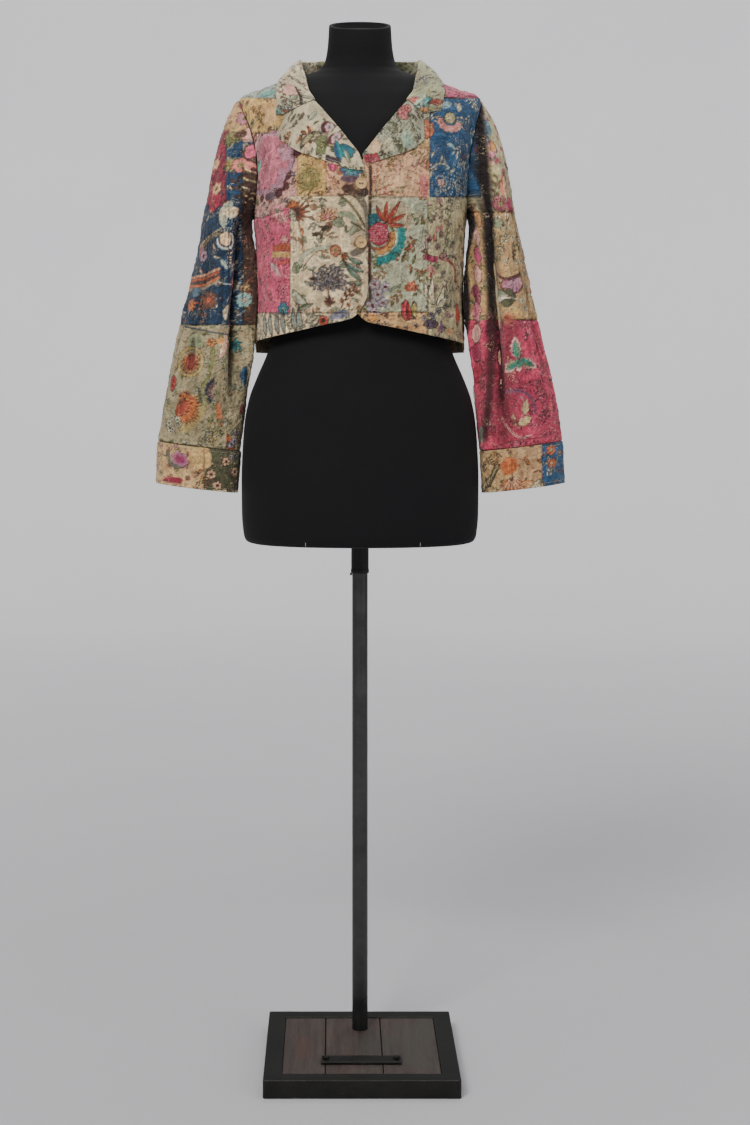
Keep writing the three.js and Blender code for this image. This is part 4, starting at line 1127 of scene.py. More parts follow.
def lay_boxes(cloth, wide, high, grounds, where=None, offset=(0, 0)):
    """Patches cut straight on the cloth, over the part that isn't seen from the front."""
    where = np.ones(cloth.u.shape, bool) if where is None else where
    grounds = [g.split(":") for g in grounds]
    low_u, low_v = math.floor(cloth.u.min() / wide), math.floor(cloth.v.min() / high)
    for i in range(low_u, math.floor(cloth.u.max() / wide) + 1):
        for j in range(low_v, math.floor(cloth.v.max() / high) + 1):
            ground, spacing, kinds, tones = grounds[(i * 5 + j * 3) % len(grounds)]
            u0, v0 = i * wide + offset[0] + 9 * (j % 3), j * high + offset[1] + 12 * (i % 2)
            mask, edge = cloth.box(u0, u0 + wide, v0, v0 + high)
            mask &= where
            if mask.any():
                cloth.patch(mask, ground)
                cloth.seam = np.where(where, np.minimum(cloth.seam, edge), cloth.seam)
                cloth.scatter(float(spacing), kinds.split(), tones.split())
                for across, up in ((0.3, 0.33), (0.72, 0.7)):
                    cloth.posy((u0 + across * wide, v0 + up * high), 0.34 * wide, tones.split())


HIDDEN = [
    "cream:24:sprig flower leaf:rust leaf grey", "ochre:20:vine sprig leaf:crimson moss brown",
    "blue:22:sprig flower leaf:pink cream sky", "sage:22:leaf vine sprig:lilac moss cream",
    "crimson*rose:20:sprig vine:cream pink maroon", "tan:22:fan leaf sprig:magenta leaf rust",
    "cream*olive:22:sprig leaf vine:rose moss rust", "peach:20:sprig curl leaf:rust leaf rose",
    "sage*ivory:22:vine leaf flower:pink leaf grey", "navy:24:vine sprig leaf:rust sky cream",
    "cream*tan:21:sprig leaf curl:violet leaf rust",
]
RIGHT_FRONT = """
sky*grey 235,78>290,98 14 sprig leaf/cream
ochre 235,98>290,133 15 sprig/flower rust/moss/cream
cream*pink 235,133>297,133>297,206>262,218>235,218 16 sprig leaf/blue/rust
ochre 292,148>326,148>326,196>297,196>297,160 17 sprig/leaf olive/rust/cream
peach 326,148>372,196 17 sprig/flower magenta/leaf/ochre
cream 290,196>376,313 22 sprig/leaf/flower rust/leaf/grey
flush*rose*rose 235,218>262,218>290,206>290,313>235,313 20 sprig/vine pink/cream*pink/rose
cream 235,313>376,350 18 vine/sprig sky/grey/leaf
"""
LEFT_FRONT = """
pink*magenta 436,78>500,98 12 sprig pink/cream
blue 430,98>500,197 22 leaf/sprig cream/sky
peach 360,148>430,197 22 sprig rose/ochre/leaf
sage 360,197>428,312 24 sprig/leaf moss/olive/rust
sage*sage*ochre 428,197>500,345 20 vine/flower/leaf leaf/pink/grey
peach*ochre 360,312>428,350 14 sprig/flower violet/cream/rust
"""
# The brown*dark patch on the right sleeve's inner side, beside the body, is painted shade.
RIGHT_SLEEVE = """
fawn 190,80>280,140 15 sprig/flower pink/olive/rose
maroon 190,130>229,206 15 sprig/flower rose/ochre/navy
navy 180,206>229,325 20 leaf/vine sky/rust/cream
blue*navy*navy 226,140>262,140>262,325>222,325>226,210 20 flower/sprig/leaf cream/sky/navy
brown*dark 242,150>270,150>270,325>243,325 14 sprig/leaf rust/cream*rust/moss
sage*tan*olive*grey*brown 160,325>262,325>262,470>140,470 19 sprig/flower/leaf olive/leaf/grey
"""
LEFT_SLEEVE = """
cream*olive*grey 450,80>545,212 17 flower/sprig rose/leaf/pink
blue 450,98>478,98>481,197>450,197 0 - -
fawn 450,212>560,320 18 sprig/leaf/flower leaf/white/olive
rose*crimson 450,320>590,470 21 sprig/leaf/vine pink/maroon/rose*pink
"""
RIGHT_CUFF = """
tan 140,405>204,490 16 sprig/flower magenta/olive/cream
dark*moss 204,405>262,490 15 leaf/sprig moss/cream/brown
"""
LEFT_CUFF = """
fawn 470,405>512,490 15 sprig olive/brown/rust
peach*fawn 512,405>542,490 14 leaf/fan orange/leaf/rust
blue 542,405>590,490 14 flower/sprig rust/sky/cream
"""
COLLAR_PATCHES = """
olive*grey 300,60>362,98 15 sprig/leaf grey/moss
cream*grey 240,60>318,150 16 sprig/leaf grey/leaf/rust
sage*grey*olive 362,60>480,150 14 leaf/sprig moss/brown/grey
"""
RIGHT_LAPEL = """
cream*cream*grey 240,60>380,220 15 sprig/leaf/flower grey/leaf/moss
"""
LEFT_LAPEL = """
sage*grey 330,60>480,220 13 leaf/sprig moss/brown/olive
"""

# %% [markdown]
# ## How a motif is written down
#
# A row is one mark: its kind, and then its values in the order of the columns named here, or as
# column=value. A place is x,y in the front view, a line is places joined by >, and tones are joined by /.
# Values joined by ; draw the mark again with each of them, so a row of five leaves is one row of the table.

# %% Rows of marks
COLUMNS = {
    "blot": "place rx ry turn colour line",
    "disc": "place r colour",
    "band": "place long wide turn colour",
    "ring": "place r wide turn spread colour teeth",
    "flower": "place r petals tones heart turn notch core squash",
    "leaf": "place long wide turn tones teeth bend vein line",
    "fan": "place long count spread turn tones wide halo",
    "stem": "marks wide colour outline taper soft",
    "sprig": "marks leaf count tones wide colour open_angle",
    "beads": "marks r colour",
    "dots": "spacing r colour share oval",
    "cluster": "place reach count r tones heart",
    "tulip": "place size turn tones",
}
MOTIFS = {}


def read_value(cloth, column, word):
    """What a word of a row stands for, by its column."""
    if column in ("place", "marks", "oval"):
        places = [[float(n) for n in place.split(",")] for place in word.split(">")]
        read = {"place": cloth.spot, "oval": cloth.near}.get(column)
        return read(*places[0]) if read else cloth.trail(*places)
    if column in ("tones", "leaf"):
        parts = word.split("/")
        return parts if column == "tones" else [float(n) for n in parts]
    if column in ("colour", "heart", "halo"):
        return word
    number = float(word)
    return int(number) if number == int(number) else number


def draw_motifs(cloth, name):
    """Draws a piece's rows over the part that shows from the front."""
    cloth.inside = cloth.shown.copy()
    for row in MOTIFS[name].strip().splitlines():
        kind, *words = row.split()
        if kind == "#":
            continue
        columns = COLUMNS[kind].split()
        named = [w.split("=") if "=" in w else (columns[k], w) for k, w in enumerate(words)]
        named = {column: word.split(";") for column, word in named}
        for k in range(max(map(len, named.values()))):
            values = {c: read_value(cloth, c, parts[k % len(parts)]) for c, parts in named.items()}
            getattr(cloth, kind)(**values)


print("kinds of mark:", len(COLUMNS))

# %% [markdown]
# ## The fronts' motifs
#
# A large pink bloom, an olive rosette and a bushy tree on the right front; a great feathered flower on the
# left.

# %% The fronts' motifs
# painted shade along the front edge, where this front lies over the left one
# painted shadow round each button
MOTIFS["front_right"] = """
blot 268,93 14 7 10 grey*teal
stem 256,99>268,99>281,98 1.4
blot 270,113 13 20 0 ochre*peach
sprig 259,108>262,120>258,133 7/3 6 olive/rust 1.4
# the large pink bloom with its dark scalloped edge
blot 292,143;296,152;291,160;285,167;286,176;285,186;278,193;269,197;262,199 8 8 0 dark*maroon
flower 268,164 47 9 bloom/bloom*lilac/pink rose 20 0.1 0.2 0.98
blot 284,152 8 15 10 lilac*pink
blot 268,158 13 32 4 bloom
blot 281,178 5 16 -6 lilac*pink
stem 275,143>277,151>274,160;264,145>266,153>263,162;270,172>272,180>269,189;276,166>278,174>275,183 0.9
stem 263,180>265,188>262,197 0.9
fan 257,176 24 3 70 92 teal/aqua 13
stem 258,176>259,186>260,196 3 dark*teal
leaf 258,206 26 12 95 moss/olive
# olive rosette on ochre
flower 309,179 23;17;11 11 olive/ochre;ochre/olive;olive*ochre/olive ochre 161;119;77 0.3 0.3
stem 322,162>329,175>335,190 2.2 rust
tulip 333,172 15 90 magenta/rose
beads 326,160>333,161>341,162 1.5 dark
flower 352,168 17 10 aqua/blue teal 10 0.35 0.35
blot 350,179 13 6 0 brown*violet
sprig 343,190>352,192>362,195 7/3 5 grey/rust 1.1
# crimson patch
blot 270,197 11 6 0 dark*violet
flower 277,210 16 7 cream*pink/pink leaf 15 0.35
fan 283,222 17 5 120 95 pink/cream*pink 6
flower 284,240 9 6 cream*pink/rose cream
band 281,248 34 10 2 rust
band 281,255 36 9 -3 ochre
band 283,262 26 7 4 rust*rose
leaf 270,263 34 12 -42 lilac*cream/pink
leaf 270,300 30 12 130 pink/crimson*pink bend=0.2
sprig 282,278>277,290>281,302 8/3.4 6 crimson/pink 1 maroon
flower 283,309 11 7 teal/blue aqua 10 0.3
# hem stripes
leaf 266,336;272,336;279,336;286,336;297,336;303,336 36 8 99 sky*grey/grey bend=0.06 line=0.9
# cream patch
flower 294,214 10 9 ivory/grey sage 0 0.2 0.4
fan 296,212 24 9 190 25 rust/brown 4.6
fan 293,208 18 5 90 100 rust/orange 5
leaf 298,224;302,228;298,237;303,243 15 5.5 -70;-95;-60;-85 orange*rust/peach teeth=3
fan 328,218 17 9 200 88 rust/peach 4 peach
disc 328,217 3.5 pink
sprig 321,196>323,203>321,209 8/3.4 6 moss/grey 1.2
ring 345,224 15 8 30 190 sage*leaf
blot 338,223 9 7.5 0 grey*moss 1
leaf 331,226 17 8.5 205 dark*moss/brown teeth=2
leaf 326,229;323,232 11 5.5 160;250 dark*moss/brown teeth=2
leaf 320,233 14 7 200 dark*moss/brown teeth=2
leaf 316,236 9 4.5 150 dark*moss/brown teeth=2
stem 299,266>305,255>318,248>336,247 8 sage 1 0.3
stem 302,270>309,259>320,251>336,249 1.3
blot 296,268 6 7.5 0 moss*grey 1
flower 336,251 9 6 peach/rust olive 30
fan 342,255 13 4 80 -30 moss/rust 4
# bushy tree
sprig 329,290>337.6933,285.8117>347.3526,286.3999 8.5/4.2 7 dark*lilac/grey*lilac 1.2 dark 55
sprig 329,290>337.9507,283.2683>345.0615,280.223 8.5/4.2 7 dark*lilac/grey*lilac 1.2 dark 55
sprig 329,290>337.0191,280.8221>345.9291,274.2822 8.5/4.2 7 dark*lilac/grey*lilac 1.2 dark 55
sprig 329,290>335.0222,278.798>339.8065,269.3665 8.5/4.2 7 dark*lilac/grey*lilac 1.2 dark 55
sprig 329,290>332.2253,277.4649>335.809,266.1291 8.5/4.2 7 dark*lilac/grey*lilac 1.2 dark 55
sprig 329,290>329,277>329,265 8.5/4.2 7 dark*lilac/grey*lilac 1.2 dark 55
sprig 329,290>325.7747,277.4649>322.191,266.1291 8.5/4.2 7 dark*lilac/grey*lilac 1.2 dark 55
sprig 329,290>322.9778,278.798>318.1935,269.3665 8.5/4.2 7 dark*lilac/grey*lilac 1.2 dark 55
sprig 329,290>320.9809,280.8221>312.0709,274.2822 8.5/4.2 7 dark*lilac/grey*lilac 1.2 dark 55
sprig 329,290>320.0493,283.2683>312.9385,280.223 8.5/4.2 7 dark*lilac/grey*lilac 1.2 dark 55
sprig 329,290>320.3067,285.8117>310.6474,286.3999 8.5/4.2 7 dark*lilac/grey*lilac 1.2 dark 55
stem 330,305>329,296>329,286 3 brown 0 0.2
leaf 317,279 13 6 175 brown/dark teeth=3
fan 330,303 12 5 150 90 rust/brown 4
leaf 362,281;364,272;363,263;362,283 38;32;24;20 7 132;150;158;178 moss*teal/grey bend=0.06 line=0.8
sprig 341,308>347,296>356,286 9/4.5 8 rust/brown 2.2
flower 348,305 9 6 ivory/cream rust 20 0.4
stem 338,194>348,202>357,213>365,226;352,194>359,200>366,212 3.6 brown*moss 1 0.1
stem 351,222>358,226>367,233 2.6 brown 0 0.2
leaf 292,290 36 13 -38 sage/sage*grey bend=-0.12 line=0.9
leaf 298,310 26 7 20 moss/grey line=0.8
sprig 300,326>310,322>318,327 7/3.4 6 dark*moss/grey 1.4
stem 360,194>365,206>367,222>367,246 8 brown*grey 0 0.5
blot 352,189 15 9 0 brown
blot 364,191 7 8 0 brown*dark
blot 357,252 12 5 20 brown*grey
blot 339,315 15 6 15 sky*violet
flower 324,320 8 8 rust/red dark 10 0.2 0.35
blot 360.5,184;360.5,243 9.8 9.8 0 brown*tan
"""
# a narrow strip of painted shadow beside the right front's edge
# painted shadow along the edge of the right front, which lies over this one
MOTIFS["front_left"] = """
# shoulder and blue patch
sprig 443,92>452,91>462,95 7/4 6 rose/crimson 1
beads 441,98>452,98>464,99 1.4 dark
ring 450,119 16 9 -95 170 pink*peach 7
flower 450,118 10 11 ivory/olive cream 0 0.1 0.35
leaf 441,117;459,117 8 3 178;2 white/cream
leaf 459,112 18 9 92 white*grey/cream*grey
blot 445,105 11 7 20 sky
leaf 446,144 19 6 -25 aqua*white/sky bend=0.15
leaf 471,148 13 5 130 white/sky
blot 463,157 6 4 20 violet 1
leaf 464,170 16 6 75 sky/white bend=0.2
beads 432,168>438,164>446,165>449,170 2.3 sky*white
blot 441,182 6.5 6 0 cream*pink 1
ring 441,182 10 2 60 200 sky*white
dots 5.2 1.2 white*sky 0.75 464,186,26,24
dots 6.1 1 dark 0.7 464,190,26,22
sprig 455,197>462,188>467,176;470,200>472,190>476,178 7/3 9;7 white*sky/sky;white*sky/lilac 0.9 navy
flower 437,193 7 6 sky/blue white
# beside the notch
blot 428,129 12 15 0 red*peach 1
ring 428,129 7 3 90 140 peach
stem 422,141>425,150>420,158 1.2
# peach patch: pale lines only
stem 372,184>392,187>412,183;371,175>390,172>411,176;378,191>398,190>424,193 1.7 peach*cream
stem 400,162>398,176>400,192;412,160>416,168>413,178;404,168>408,174>404,182 1.7 peach*cream
sprig 404,180>412,172>420,168 8/3 5 peach*rose/peach*cream 0.7 rust
flower 386,178 12 7 peach*cream/peach peach 10 0.3
blot 424,186 7 18 0 peach*rose
# big flower: head, rings and feathers
stem 370,166>371,200>370,232>370,300 4.5 brown*dark 0 0.1
blot 374,219 12 8 20 teal*navy
ring 377,236 35 9.5 -28 128 teal 11
ring 377,236 28 4 -30 124 aqua*ivory
ring 377,236 23 6 -38 110 orange*ochre 8
ring 377,236 18.5 3 -50 130 rust
fan 386,223 37 5 126 57 red*maroon/rust 7 peach*sage
blot 378,234 17 16 0 crimson 1
dots 3.2 0.95 pink*white 0.9 378,234,10,9
band 369,254 4 62 0 maroon*brown
stem 402,237>412,238>421,242>425,252 1.5
leaf 402,262 22 8.8 60 brown/olive teeth=3
leaf 408,262 18 7.2 100 olive/grey teeth=3
leaf 413,264 15 6 70 leaf/moss teeth=3
leaf 404,250 14 5.6 30 brown/rust teeth=3
leaf 411,250 12 4.8 80 rust/pink teeth=3
leaf 400,256 10 4 140 moss/brown teeth=3
sprig 418,268>419,280>417,296 8/3 7 olive/leaf 1.3
fan 411,291 17 4 100 92 red*orange/peach*red 8
blot 406,310 7 14 8 red*rose 1
leaf 409,320 26 8 96 maroon/red
blot 414,310 4.5 12 0 olive*ochre 1
flower 375,284 9 5 lilac*cream/lilac maroon 2625 0.4 0.25
dots 3.4 0.8 dark*violet 0.5 375,284,5,5
flower 385,287 8 5 lilac*cream/lilac maroon 2695 0.4 0.25
dots 3.4 0.8 dark*violet 0.5 385,287,5,5
flower 378,295 9 5 lilac*cream/lilac maroon 2646 0.4 0.25
dots 3.4 0.8 dark*violet 0.5 378,295,5,5
flower 372,305 10 5 lilac*cream/lilac maroon 2604 0.4 0.25
dots 3.4 0.8 dark*violet 0.5 372,305,5,5
flower 383,303 8 5 lilac*cream/lilac maroon 2681 0.4 0.25
dots 3.4 0.8 dark*violet 0.5 383,303,5,5
flower 375,312 7 5 lilac*cream/lilac maroon 2625 0.4 0.25
dots 3.4 0.8 dark*violet 0.5 375,312,5,5
leaf 390,292 20 8 35 leaf*sage/sage
blot 374,317 8 6 -20 orange*ochre
# right-hand patch
stem 436,206>428,215>424,226>422,244 1.8 moss
leaf 427,250 30 10 96 pink*grey/sage bend=-0.1 line=0.8
leaf 428,243 10 5 70 rust/brown
stem 437,250>437,240>437,232 1.2 moss
leaf 437,233 11 5.5 88 rust/pink vein=0
stem 437,250>439,240>441,230 1.2 moss
leaf 441,231 11 5.5 88 rust/pink vein=0
stem 437,250>435.5,240>434,240 1.2 moss
leaf 434,241 11 5.5 88 rust/pink vein=0
sprig 449,252>447,236>449,218>446,206 7/3.4 13 olive/leaf 1.2
flower 452,243 7 6 moss/grey dark 10
band 431,259 25 9 -8 crimson*magenta
stem 440,258>449,261>454,268>455,281 5 rust*maroon 1 0.3
fan 443,258 12 6 150 70 pink*brown/cream*pink 4
blot 431,269 9 6 -15 pink*peach
leaf 431,272 9 5 -90 rust/red
leaf 434,305 36;40 11 118;92 ivory*sage/ivory bend=0.1 line=0.9
leaf 436,305;438,306 34;24 11 62;35 ivory*sage/ivory bend=-0.1 line=0.9
stem 425,275>423,290>428,304 1.6 moss
sprig 445,300>450,288>449,272 8/3.6 7 leaf/sage 1.1
cluster 447,302 13 7 4 sage/grey dark
blot 457,314 7 15 -6 red 1
blot 431,324 13 7 0 dark*violet 1
cluster 431,313 16 8 4 grey/lilac dark
leaf 442,333 19 7 92 violet*magenta/violet
blot 450,332 8 5 0 orange*cream
"""

# %% [markdown]
# ## The sleeves' and cuffs' motifs
#
# The right sleeve runs from navy to sage, the left one from cream to crimson, with shade painted in black
# along its long fold.

# %% The sleeves' and cuffs' motifs
MOTIFS["sleeve_right"] = """
blot 252,101;248,104 12;9 6 10 olive;brown*rose
fan 233,132 30 6 90 75 moss/olive 7
flower 245,118 14 6 lilac*pink/brown*pink olive 20 0.35
blot 250,135 9 13 0 cream*pink
blot 241,135 9 7 -20 brown
fan 236,158 26 5 80 85 olive/olive*ochre 8
blot 250,151 6 13 0 rose*pink 1
blot 220,150;216.88,176;213.88,201 14 15 8 crimson*maroon;maroon;maroon*crimson 1
flower 217,165;217,188 10 6 tan/cream*rust olive 165;188 0.3
leaf 232,200 44 17 92 sage*grey/grey bend=0.1
sprig 246,208>241,192>238,176 12/6 8 brown/dark 2.6 dark
flower 240,165 12 6 pink*tan/rust*pink olive 25 0.3
sprig 252,206>250,190>252,168 8/3.4 9 cream/olive 1.1
# navy side with vine and rust bands
stem 201,252>206,243>213,236>223,233 4.6 brown*olive 1 0.2
beads 200,248>206,239>214,232>222,229 1.4 cream
blot 201,252 9 10 0 brown*pink
flower 203,256 9 6 pink*lilac/lilac brown 5
stem 189,278>203,276>219,269;189,281.1>203,279.1>219,272.1 4.2 cream*rust;rust 0 0.1
stem 189,284.2>203,282.2>219,275.2;189,287.3>203,285.3>219,278.3 4.2 brown;orange*rust 0 0.1
stem 189,290.4>203,288.4>219,281.4 4.2 cream*brown 0 0.1
blot 195,292 12 7 0 sky*navy
fan 191,305 13 10 330 0 rust/orange 5
flower 209,300 15 8 rust*brown/brown rust 10 0.35
sprig 206,324>203,310>198,298 9/4.5 8 brown/rust 1.8 dark
# blue front band
blot 232,212 12 9 0 cream
dots 4.6 1.25 sky*white 0.85 233,232,9,18
blot 226,239 9 10 10 peach*cream 1
ring 226,240 12.5 3 60 250 white*sky 9
leaf 221,259 20 8 50 white*aqua/sky teeth=3
leaf 232,262 15 5 25 white*lilac/lilac teeth=3
fan 236,281 21 4 70 100 cream/white*grey 6
stem 219,282>229,284>241,283 2.4 white*sky 1 0.1
leaf 229,304 25 11 100 cream*grey/cream bend=0.1
leaf 226,331 46 12 100 peach*cream/cream*pink bend=-0.08
sprig 236,326>239,312>236,294 9/4 8 sky/navy 1.1 navy
flower 244,300 12 7 sky/aqua cream 10
fan 243,284 14 5 80 60 ochre/tan 4
# sage lower patch
stem 184,326>205,331>232,336 2.2 navy 0 0.1
blot 196,341 15 12 0 moss*sage
ring 191,362 21 5 0 360 ochre*olive
fan 191,362 20 15 336 80 rust/orange 5.4
blot 191,362 8 11 0 maroon*rust 1
fan 211,342 9 9 320 0 rust/orange*ochre 4
blot 221,341 6 5 0 ochre*orange
dots 3 0.9 brown 0.7 212,354,4,8
stem 213,348>212,362>208,377>203,386 6 olive*moss 1 0.2
blot 174,383 6 11 0 red*maroon 1
fan 178,404 42 13 96 22 rust/orange 6.2 ochre*olive
fan 180,404 24 9 150 10 red*maroon/rust 5
fan 184,400 16 7 130 -80 rust/orange 4.6
ring 219,392 19 5 180 120 dark*navy
ring 219,392 14 2.4 180 110 violet*magenta
leaf 218,401 40 12 74 orange*rust/peach*rust teeth=7
leaf 227,434 58 15 64 rust*red/orange*rust teeth=9
blot 241,409 4 7 0 maroon 1
fan 235,345 15 6 260 60 teal/navy*teal 5.5
leaf 246,366 34 12 96 blue/navy bend=0.08
dots 3.1 0.7 grey 0.9 234,371,8,4
leaf 203,404 26 9 250 moss*grey/dark*moss
fan 194,446 17 6 120 95 dark*brown/brown 4
sprig 214,446>213,434>217,420 9/4 8 olive/olive*ochre 1.4
cluster 233,440 13 8 5 lilac*grey/lilac dark
cluster 176,425 12 6 5 sage*cream/grey olive
sprig 200,392>214,412>222,436 9/4 7 leaf/olive 1
"""
# crimson patch, with painted shade in maroon towards the long fold
# painted shade in black along the long fold, and along the underarm
MOTIFS["sleeve_left"] = """
blot 474,101 12 8 -35 tan*rust
leaf 480,118 20 8 60 moss*dark/moss
blot 485,128 9 14 8 sky*navy
leaf 486,136 24 7 92 sky*white/sky*navy
flower 488,149 16 6 pink*cream/rose*lilac ochre 20 0.3
fan 489,160 15 5 110 85 rose*pink/pink*cream 6
blot 494,147 5 9 0 ochre*orange 1
leaf 503,176 42 13 104 red*peach/peach bend=0.08
blot 493,172 11 16 0 cream*olive
sprig 494,208>494,192>498,176 10/5 9 brown/olive 1.8
flower 500,204 13 6 brown*rose/brown*pink olive 10 0.35
flower 510,205 13 7 magenta/crimson rose 30 0.25
leaf 496,219 15 7 40 olive/moss
blot 498,224 8 7 0 moss*grey 1
sprig 499,232>500,242>497,252 7/3 5 moss/olive 1.2
sprig 514,260>513,250>516,234 7/3.4 8 brown/moss 2
# mauve flower, half closed
fan 512,279 28 5 112 92 lilac*rose/pink*lilac 14
ring 512,276 25 2.6 92 150 maroon
beads 499,276>507,279>520,274 2.4 maroon*brown
leaf 500,277 14 6 215 rust/brown
# leaf oval
blot 507,298 16 12.5 0 dark*moss 1
leaf 495,298 40 20 0 sage*white/grey*leaf line=1
stem 498,299>508,298>520,300 1.8 white
blot 516,314 11 9 0 ochre
flower 507,318 12 7 ochre*rust/ochre rust 10 0.3
leaf 526,305 22 8 100 peach*tan/rust*tan
blot 477,218;477,236;477,255;477,274 9 15 0 orange*tan;cream*pink;magenta*rose;cream*pink 1
blot 477,294;477,312;477,334;477,352;477,372 9 15 0 magenta*maroon;pink;cream*pink;crimson*magenta;crimson 1
# crimson patch, darker towards the long fold
stem 510,326>509,380>503,434 22 maroon taper=0 soft=26
leaf 518,358;519,360 20;33 20 90;28 cream*pink/cream*pink teeth=5 vein=0
leaf 517,362 28 19 152 cream*pink/cream*pink teeth=5 vein=0
leaf 518,358 34 21 -92 cream*pink/cream*pink teeth=5 vein=0
leaf 518,359 15 14 90 leaf*green/teal*green teeth=4
leaf 519,360;517,362 27;22 13 28;152 leaf*green/teal*green teeth=4
leaf 518,358 28 14 -92 leaf*green/teal*green teeth=4
stem 508,391>522,392>532,399>536,414 6.5 maroon*violet 0 0.4
stem 520,396>525,404>527,414 2.4 pink*lilac 0 0.3
leaf 512,414 20 8 80 olive*pink/cream*olive
leaf 518,425 24 16 -22 cream*ochre/cream*tan teeth=3
leaf 524,415 24 13 -72 cream*tan/cream*olive teeth=3
stem 502,419>509,429>519,437>531,435 2.6 pink*cream 1 0.2
sprig 503,412>508,420>514,424 8/3.4 5 maroon/rose 1.1 maroon
stem 530,330>536,348>540,368;541,375>546,392>548,412;525,372>532,384>543,392 1.3 maroon
sprig 540,432>546,414>543,396 9/4 7 rose*pink/crimson 0.9 maroon
leaf 468,390 26 10 85 cream/cream*grey
leaf 481,426 28 14 96 green*grey/white*leaf
stem 497,446>516,441>545,437 1.6
# the dark print that lies in the long fold, and along the underarm
stem 476,106>480,122>482,150>485,190>489,240>491,290>491,330 15 black taper=0 soft=8
stem 491,318>491,350>489,395>485,436;464,212>464,260>463,330 15 black*maroon;black taper=0 soft=10;5
"""
MOTIFS["cuff_right"] = """
blot 201,458 17 18 0 ochre*tan
ring 178,455 17 6 110 170 dark*grey
flower 180,459 15 6 magenta/lilac*pink magenta 15 0.25 0.45 0.72
blot 172,480 17 5 -4 crimson*maroon
stem 162,437>178,440>198,444 1.8 moss
sprig 195,470>205,478>204,486 8/4 5 olive/rust 1.1
leaf 220,477;228,470;213,480;234,482;207,470;226,487 16 6.5 100;60;140;80;40;30 dark*moss/brown bend=0.12
flower 211,474;226,462;235,472;217,486 7 6 cream*pink/tan brown 211;226;235;217 0.35
cluster 232,456 9 5 4 lilac*grey/grey dark
"""
MOTIFS["cuff_left"] = """
leaf 484,484;486.6,481;489.2,478;491.8,475;494.4,472 26 6 118 olive*cream/moss*brown bend=0.1 line=0.8
leaf 497,469;499.6,466 26 6 118 olive*cream/moss*brown bend=0.1 line=0.8
fan 516,484 52 11 150 84 cream*peach/orange*peach 8
blot 510,466 12 14 20 orange*rust
fan 510,478 30 7 100 70 orange*rust/peach 6
fan 540,478 46 5 40 108 cream*leaf/cream 6
band 552,443 30 10 0 blue*navy
flower 551,450;551,463 8 6 rust/orange*rust cream 450;463 0.3
leaf 556,482 34 9 84 sky*grey/navy*grey
sprig 546,478>550,470>546,456 7/3 6 cream/sky 0.9 navy
"""

# %% [markdown]
# ## The collar's and lapels' motifs
#
# Small leaves, bells and blossoms in greys and rust, as fine prints have.

# %% The collar's and lapels' motifs
MOTIFS["collar"] = """
stem 289,76>294,77>298,82 1.8 dark*moss
sprig 283,78>282,88>284,98 6/3 8 rust/brown 1
blot 291,90 12 10 30 cream*pink
leaf 291,100;296,104;290,108;299,96;296,111 17 6 40;60;20;80;150 grey*leaf/sage line=0.7
beads 296,87>300,96>303,108 1.2 dark
leaf 284,112 17 8 150 grey*teal/grey teeth=3
cluster 284,108 9 6 4 grey*white/grey dark
dots 3.3 0.8 dark 0.6 286,116,6,4
leaf 282,122 17 12 -28 teal*grey/teal*dark
sprig 296,119>294,125>296,130 6/3 5 brown/rust 1.1
# left front half
ring 417,70 5.5 2 180 270 dark*moss
cluster 420,82 14 7 4 grey*lilac/grey moss
blot 419,99 12 6 -10 aqua*cream
blot 424,103 11 7 0 teal 1
fan 424,105 13 6 170 90 teal/aqua*white 5
blot 436,102 6 9 8 rust*maroon 1
flower 422,112 8 6 orange*ochre/rust*ochre brown 20
stem 424,116>432,113>441,111 2.4 brown
flower 405,107 8 6 pink*rust/rose*rust cream 10
"""
MOTIFS["lapel_right"] = """
leaf 317,112 17 9 182 grey*leaf/sage
sprig 288,128>296,124>300,114 6/2.8 6 grey/brown 1
blot 309,135 12 10 40 peach*cream
leaf 306,134;310,139;312,143;307,140;303,135;311,132 11 4 100;60;90;130;150;80 rust/orange*rust teeth=3
fan 289,139 12 5 100 90 rust*brown/peach 4
leaf 302,142;308,141;314,141;300,147 28;32;32;26 6.4 -40;-42;-48;-33 leaf*cream/olive*cream line=0.85
leaf 320,141;325,142 26;24 6.4 -55;-62 leaf*cream/olive*cream line=0.85
flower 322,145 10 7 olive*leaf/moss olive 0 0.35
leaf 320,134 12 5 10 grey*teal/grey teeth=3
blot 327,127 9 9 0 dark*maroon
flower 329,127 7.5 6 white*lilac/white*pink lilac 10 0.2
blot 335,138 13 7 -15 dark*maroon
flower 336,137 10 6 white*lilac/white*pink lilac 10 0.2 0.25 0.62
blot 344,150 9 17 28 blue*teal 1
leaf 341,161 28 12 62 blue/teal
leaf 350,163 20 7 70 aqua*cream/leaf
beads 326,157>333,159>341,160 1.7 violet*dark
"""
MOTIFS["lapel_left"] = """
blot 374,147 10 17 30 peach*cream
blot 388,145 8 10 30 sage*cream
flower 403,114;408,108;402,107 9;6;5 6 pink*cream/rose*rust rose 1209;1224;1206 0.3
leaf 385,128;392,133;398,138;396,147;404,144;390,122 12 5 40;70;20;60;100;20 moss*grey/olive*grey teeth=3
leaf 410,130;388,152 12 5 60;30 moss*grey/olive*grey teeth=3
dots 4 0.9 moss*dark 0.8 396,132,22,18
blot 407,140 9 8 20 sage*aqua
leaf 398,152 11 7 92 dark*moss/moss
fan 370,165 15 6 130 88 red*maroon/rose 6
flower 375,160 8 6 rose/red*maroon pink 10
flower 365,160 7 6 maroon*red/rose pink 40
"""
print("rows of marks:", sum(len(rows.splitlines()) - 1 for rows in MOTIFS.values()))

# %% [markdown]
# ## Make the cloth pieces

